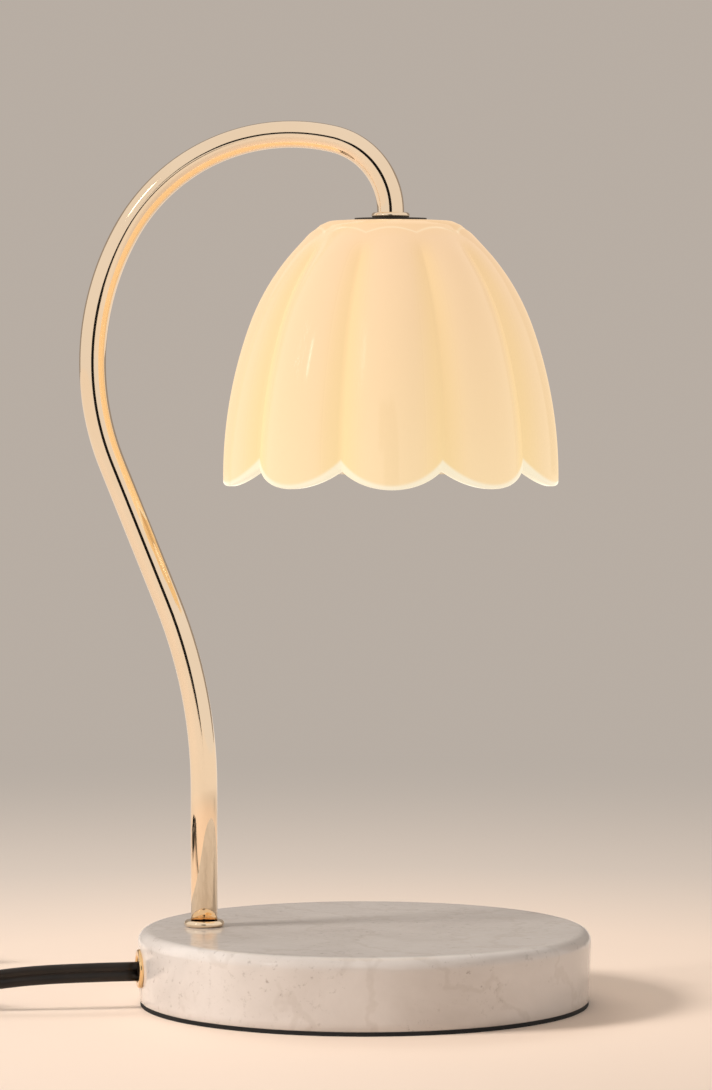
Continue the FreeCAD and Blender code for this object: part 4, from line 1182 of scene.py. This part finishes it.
# %% [markdown]
# The world is three skies in one. The first lights the lamp, the second is what polished metal and
# glass mirror, and the third is the backdrop that the camera sees. Light Path tells which kind of
# ray asks, so that the backdrop's tone has nothing to do with how much light falls on the lamp.

# %% Sky
world = bpy.data.worlds.new("studio")
bpy.context.scene.world = world
world.use_nodes = True
sky_nodes = world.node_tree.nodes
sky_links = world.node_tree.links
ray_kind = sky_nodes.new("ShaderNodeLightPath").outputs


def sky(node, colour, strength):
    """A plain sky of one colour, as a socket."""
    node.inputs["Color"].default_value = (*colour, 1.0)
    node.inputs["Strength"].default_value = strength
    return node.outputs[0]


def chosen(kind, others, seen):
    """One sky for a kind of ray and another for the others."""
    mix = sky_nodes.new("ShaderNodeMixShader")
    for number, source in enumerate((ray_kind[kind], others, seen)):
        sky_links.new(source, mix.inputs[number])
    return mix.outputs[0]


lighting_sky = sky(sky_nodes["Background"], (1.0, 0.96, 0.92), 0.41)
mirrored_sky = sky(sky_nodes.new("ShaderNodeBackground"), (1.0, 0.93, 0.87), 0.9)
seen_sky = sky(sky_nodes.new("ShaderNodeBackground"), WALL_COLOUR, 1.0)
whole_sky = chosen("Is Camera Ray", chosen("Is Glossy Ray", lighting_sky, mirrored_sky), seen_sky)
sky_links.new(whole_sky, sky_nodes["World Output"].inputs["Surface"])
print("sky: %d nodes" % len(sky_nodes))


# %% [markdown]
# A key light from the left and above throws the soft shadow to the right; a weak fill and a light
# from behind open the shadows. Polished metal shows what stands round it, so what it mirrors is
# set out apart from the lights: a bright sky, dark shapes round the camera, which draw the thin
# black line along the tube, a darker wall behind, and a narrow strip for the streaks on the glass.

# %% Lights
TARGET = Vector((0.0, 0.0, 0.12))


def soft_light(name, place, width, height, power, colour):
    """A soft box aimed at the lamp, which doesn't show in reflections."""
    data = bpy.data.lights.new(name, "AREA")
    data.shape = "RECTANGLE"
    data.size = width
    data.size_y = height
    data.energy = power
    data.color = colour
    lamp = bpy.data.objects.new(name, data)
    lamp.location = place
    lamp.rotation_euler = (TARGET - Vector(place)).to_track_quat("-Z", "Y").to_euler()
    lamp.visible_glossy = False
    bpy.context.scene.collection.objects.link(lamp)


soft_light("key", (-2.3, -0.7, 1.5), width=0.7, height=0.7, power=80, colour=(1.0, 0.95, 0.90))
soft_light("fill", (1.6, -1.6, 0.9), width=1.2, height=1.6, power=7, colour=(1.0, 0.93, 0.86))
soft_light("back", (-0.8, 1.9, 1.9), width=1.6, height=1.0, power=16, colour=(1.0, 0.96, 0.92))
print("3 soft lights")


# %% Cards that only mirrors see
def upright(start, end, low, high):
    """The corners of an upright card from one (x, y) to another, between two heights."""
    return [(*start, low), (*end, low), (*end, high), (*start, high)]


def mirror_card(name, corners, colour=(0.0, 0.0, 0.0), strength=0.0):
    """A flat card seen in reflections alone; a strength of nothing makes it black."""
    mesh = bpy.data.meshes.new(name)
    mesh.from_pydata(corners, [], [tuple(range(len(corners)))])
    material, _ = new_finish(name, Base_Color=(0.0, 0.0, 0.0, 1.0), Roughness=1.0,
                             Emission_Color=(*colour, 1.0), Emission_Strength=strength)
    mesh.materials.append(material)
    card = bpy.data.objects.new(name, mesh)
    card.visible_camera = False
    card.visible_diffuse = False
    card.visible_transmission = False
    card.visible_shadow = False
    bpy.context.scene.collection.objects.link(card)


DARK_HALF_WIDTH = 0.46
DARK_HALF_HEIGHT = 0.80
DARK_Y = -2.3
DARK_Z = 0.27
OVAL_POINTS = 32
turns = [2 * math.pi * number / OVAL_POINTS for number in range(OVAL_POINTS)]
oval = [(DARK_HALF_WIDTH * math.cos(a), DARK_Y, DARK_Z + DARK_HALF_HEIGHT * math.sin(a)) for a in turns]
mirror_card("dark_oval", oval)
mirror_card("dark_side", upright((-0.80, DARK_Y), (-0.28, DARK_Y), low=0.46, high=1.02))
mirror_card("back_card", upright((-7, 5), (7, 5), low=-0.01, high=4), (0.34, 0.29, 0.25), 1.0)
mirror_card("streak_card", upright((-2.4, -1.75), (-2.3, -1.85), low=1.5, high=2.1), (1.0, 0.97, 0.9), 9.0)
print("4 cards for reflections")

bpy.context.scene.view_settings.view_transform = "Standard"
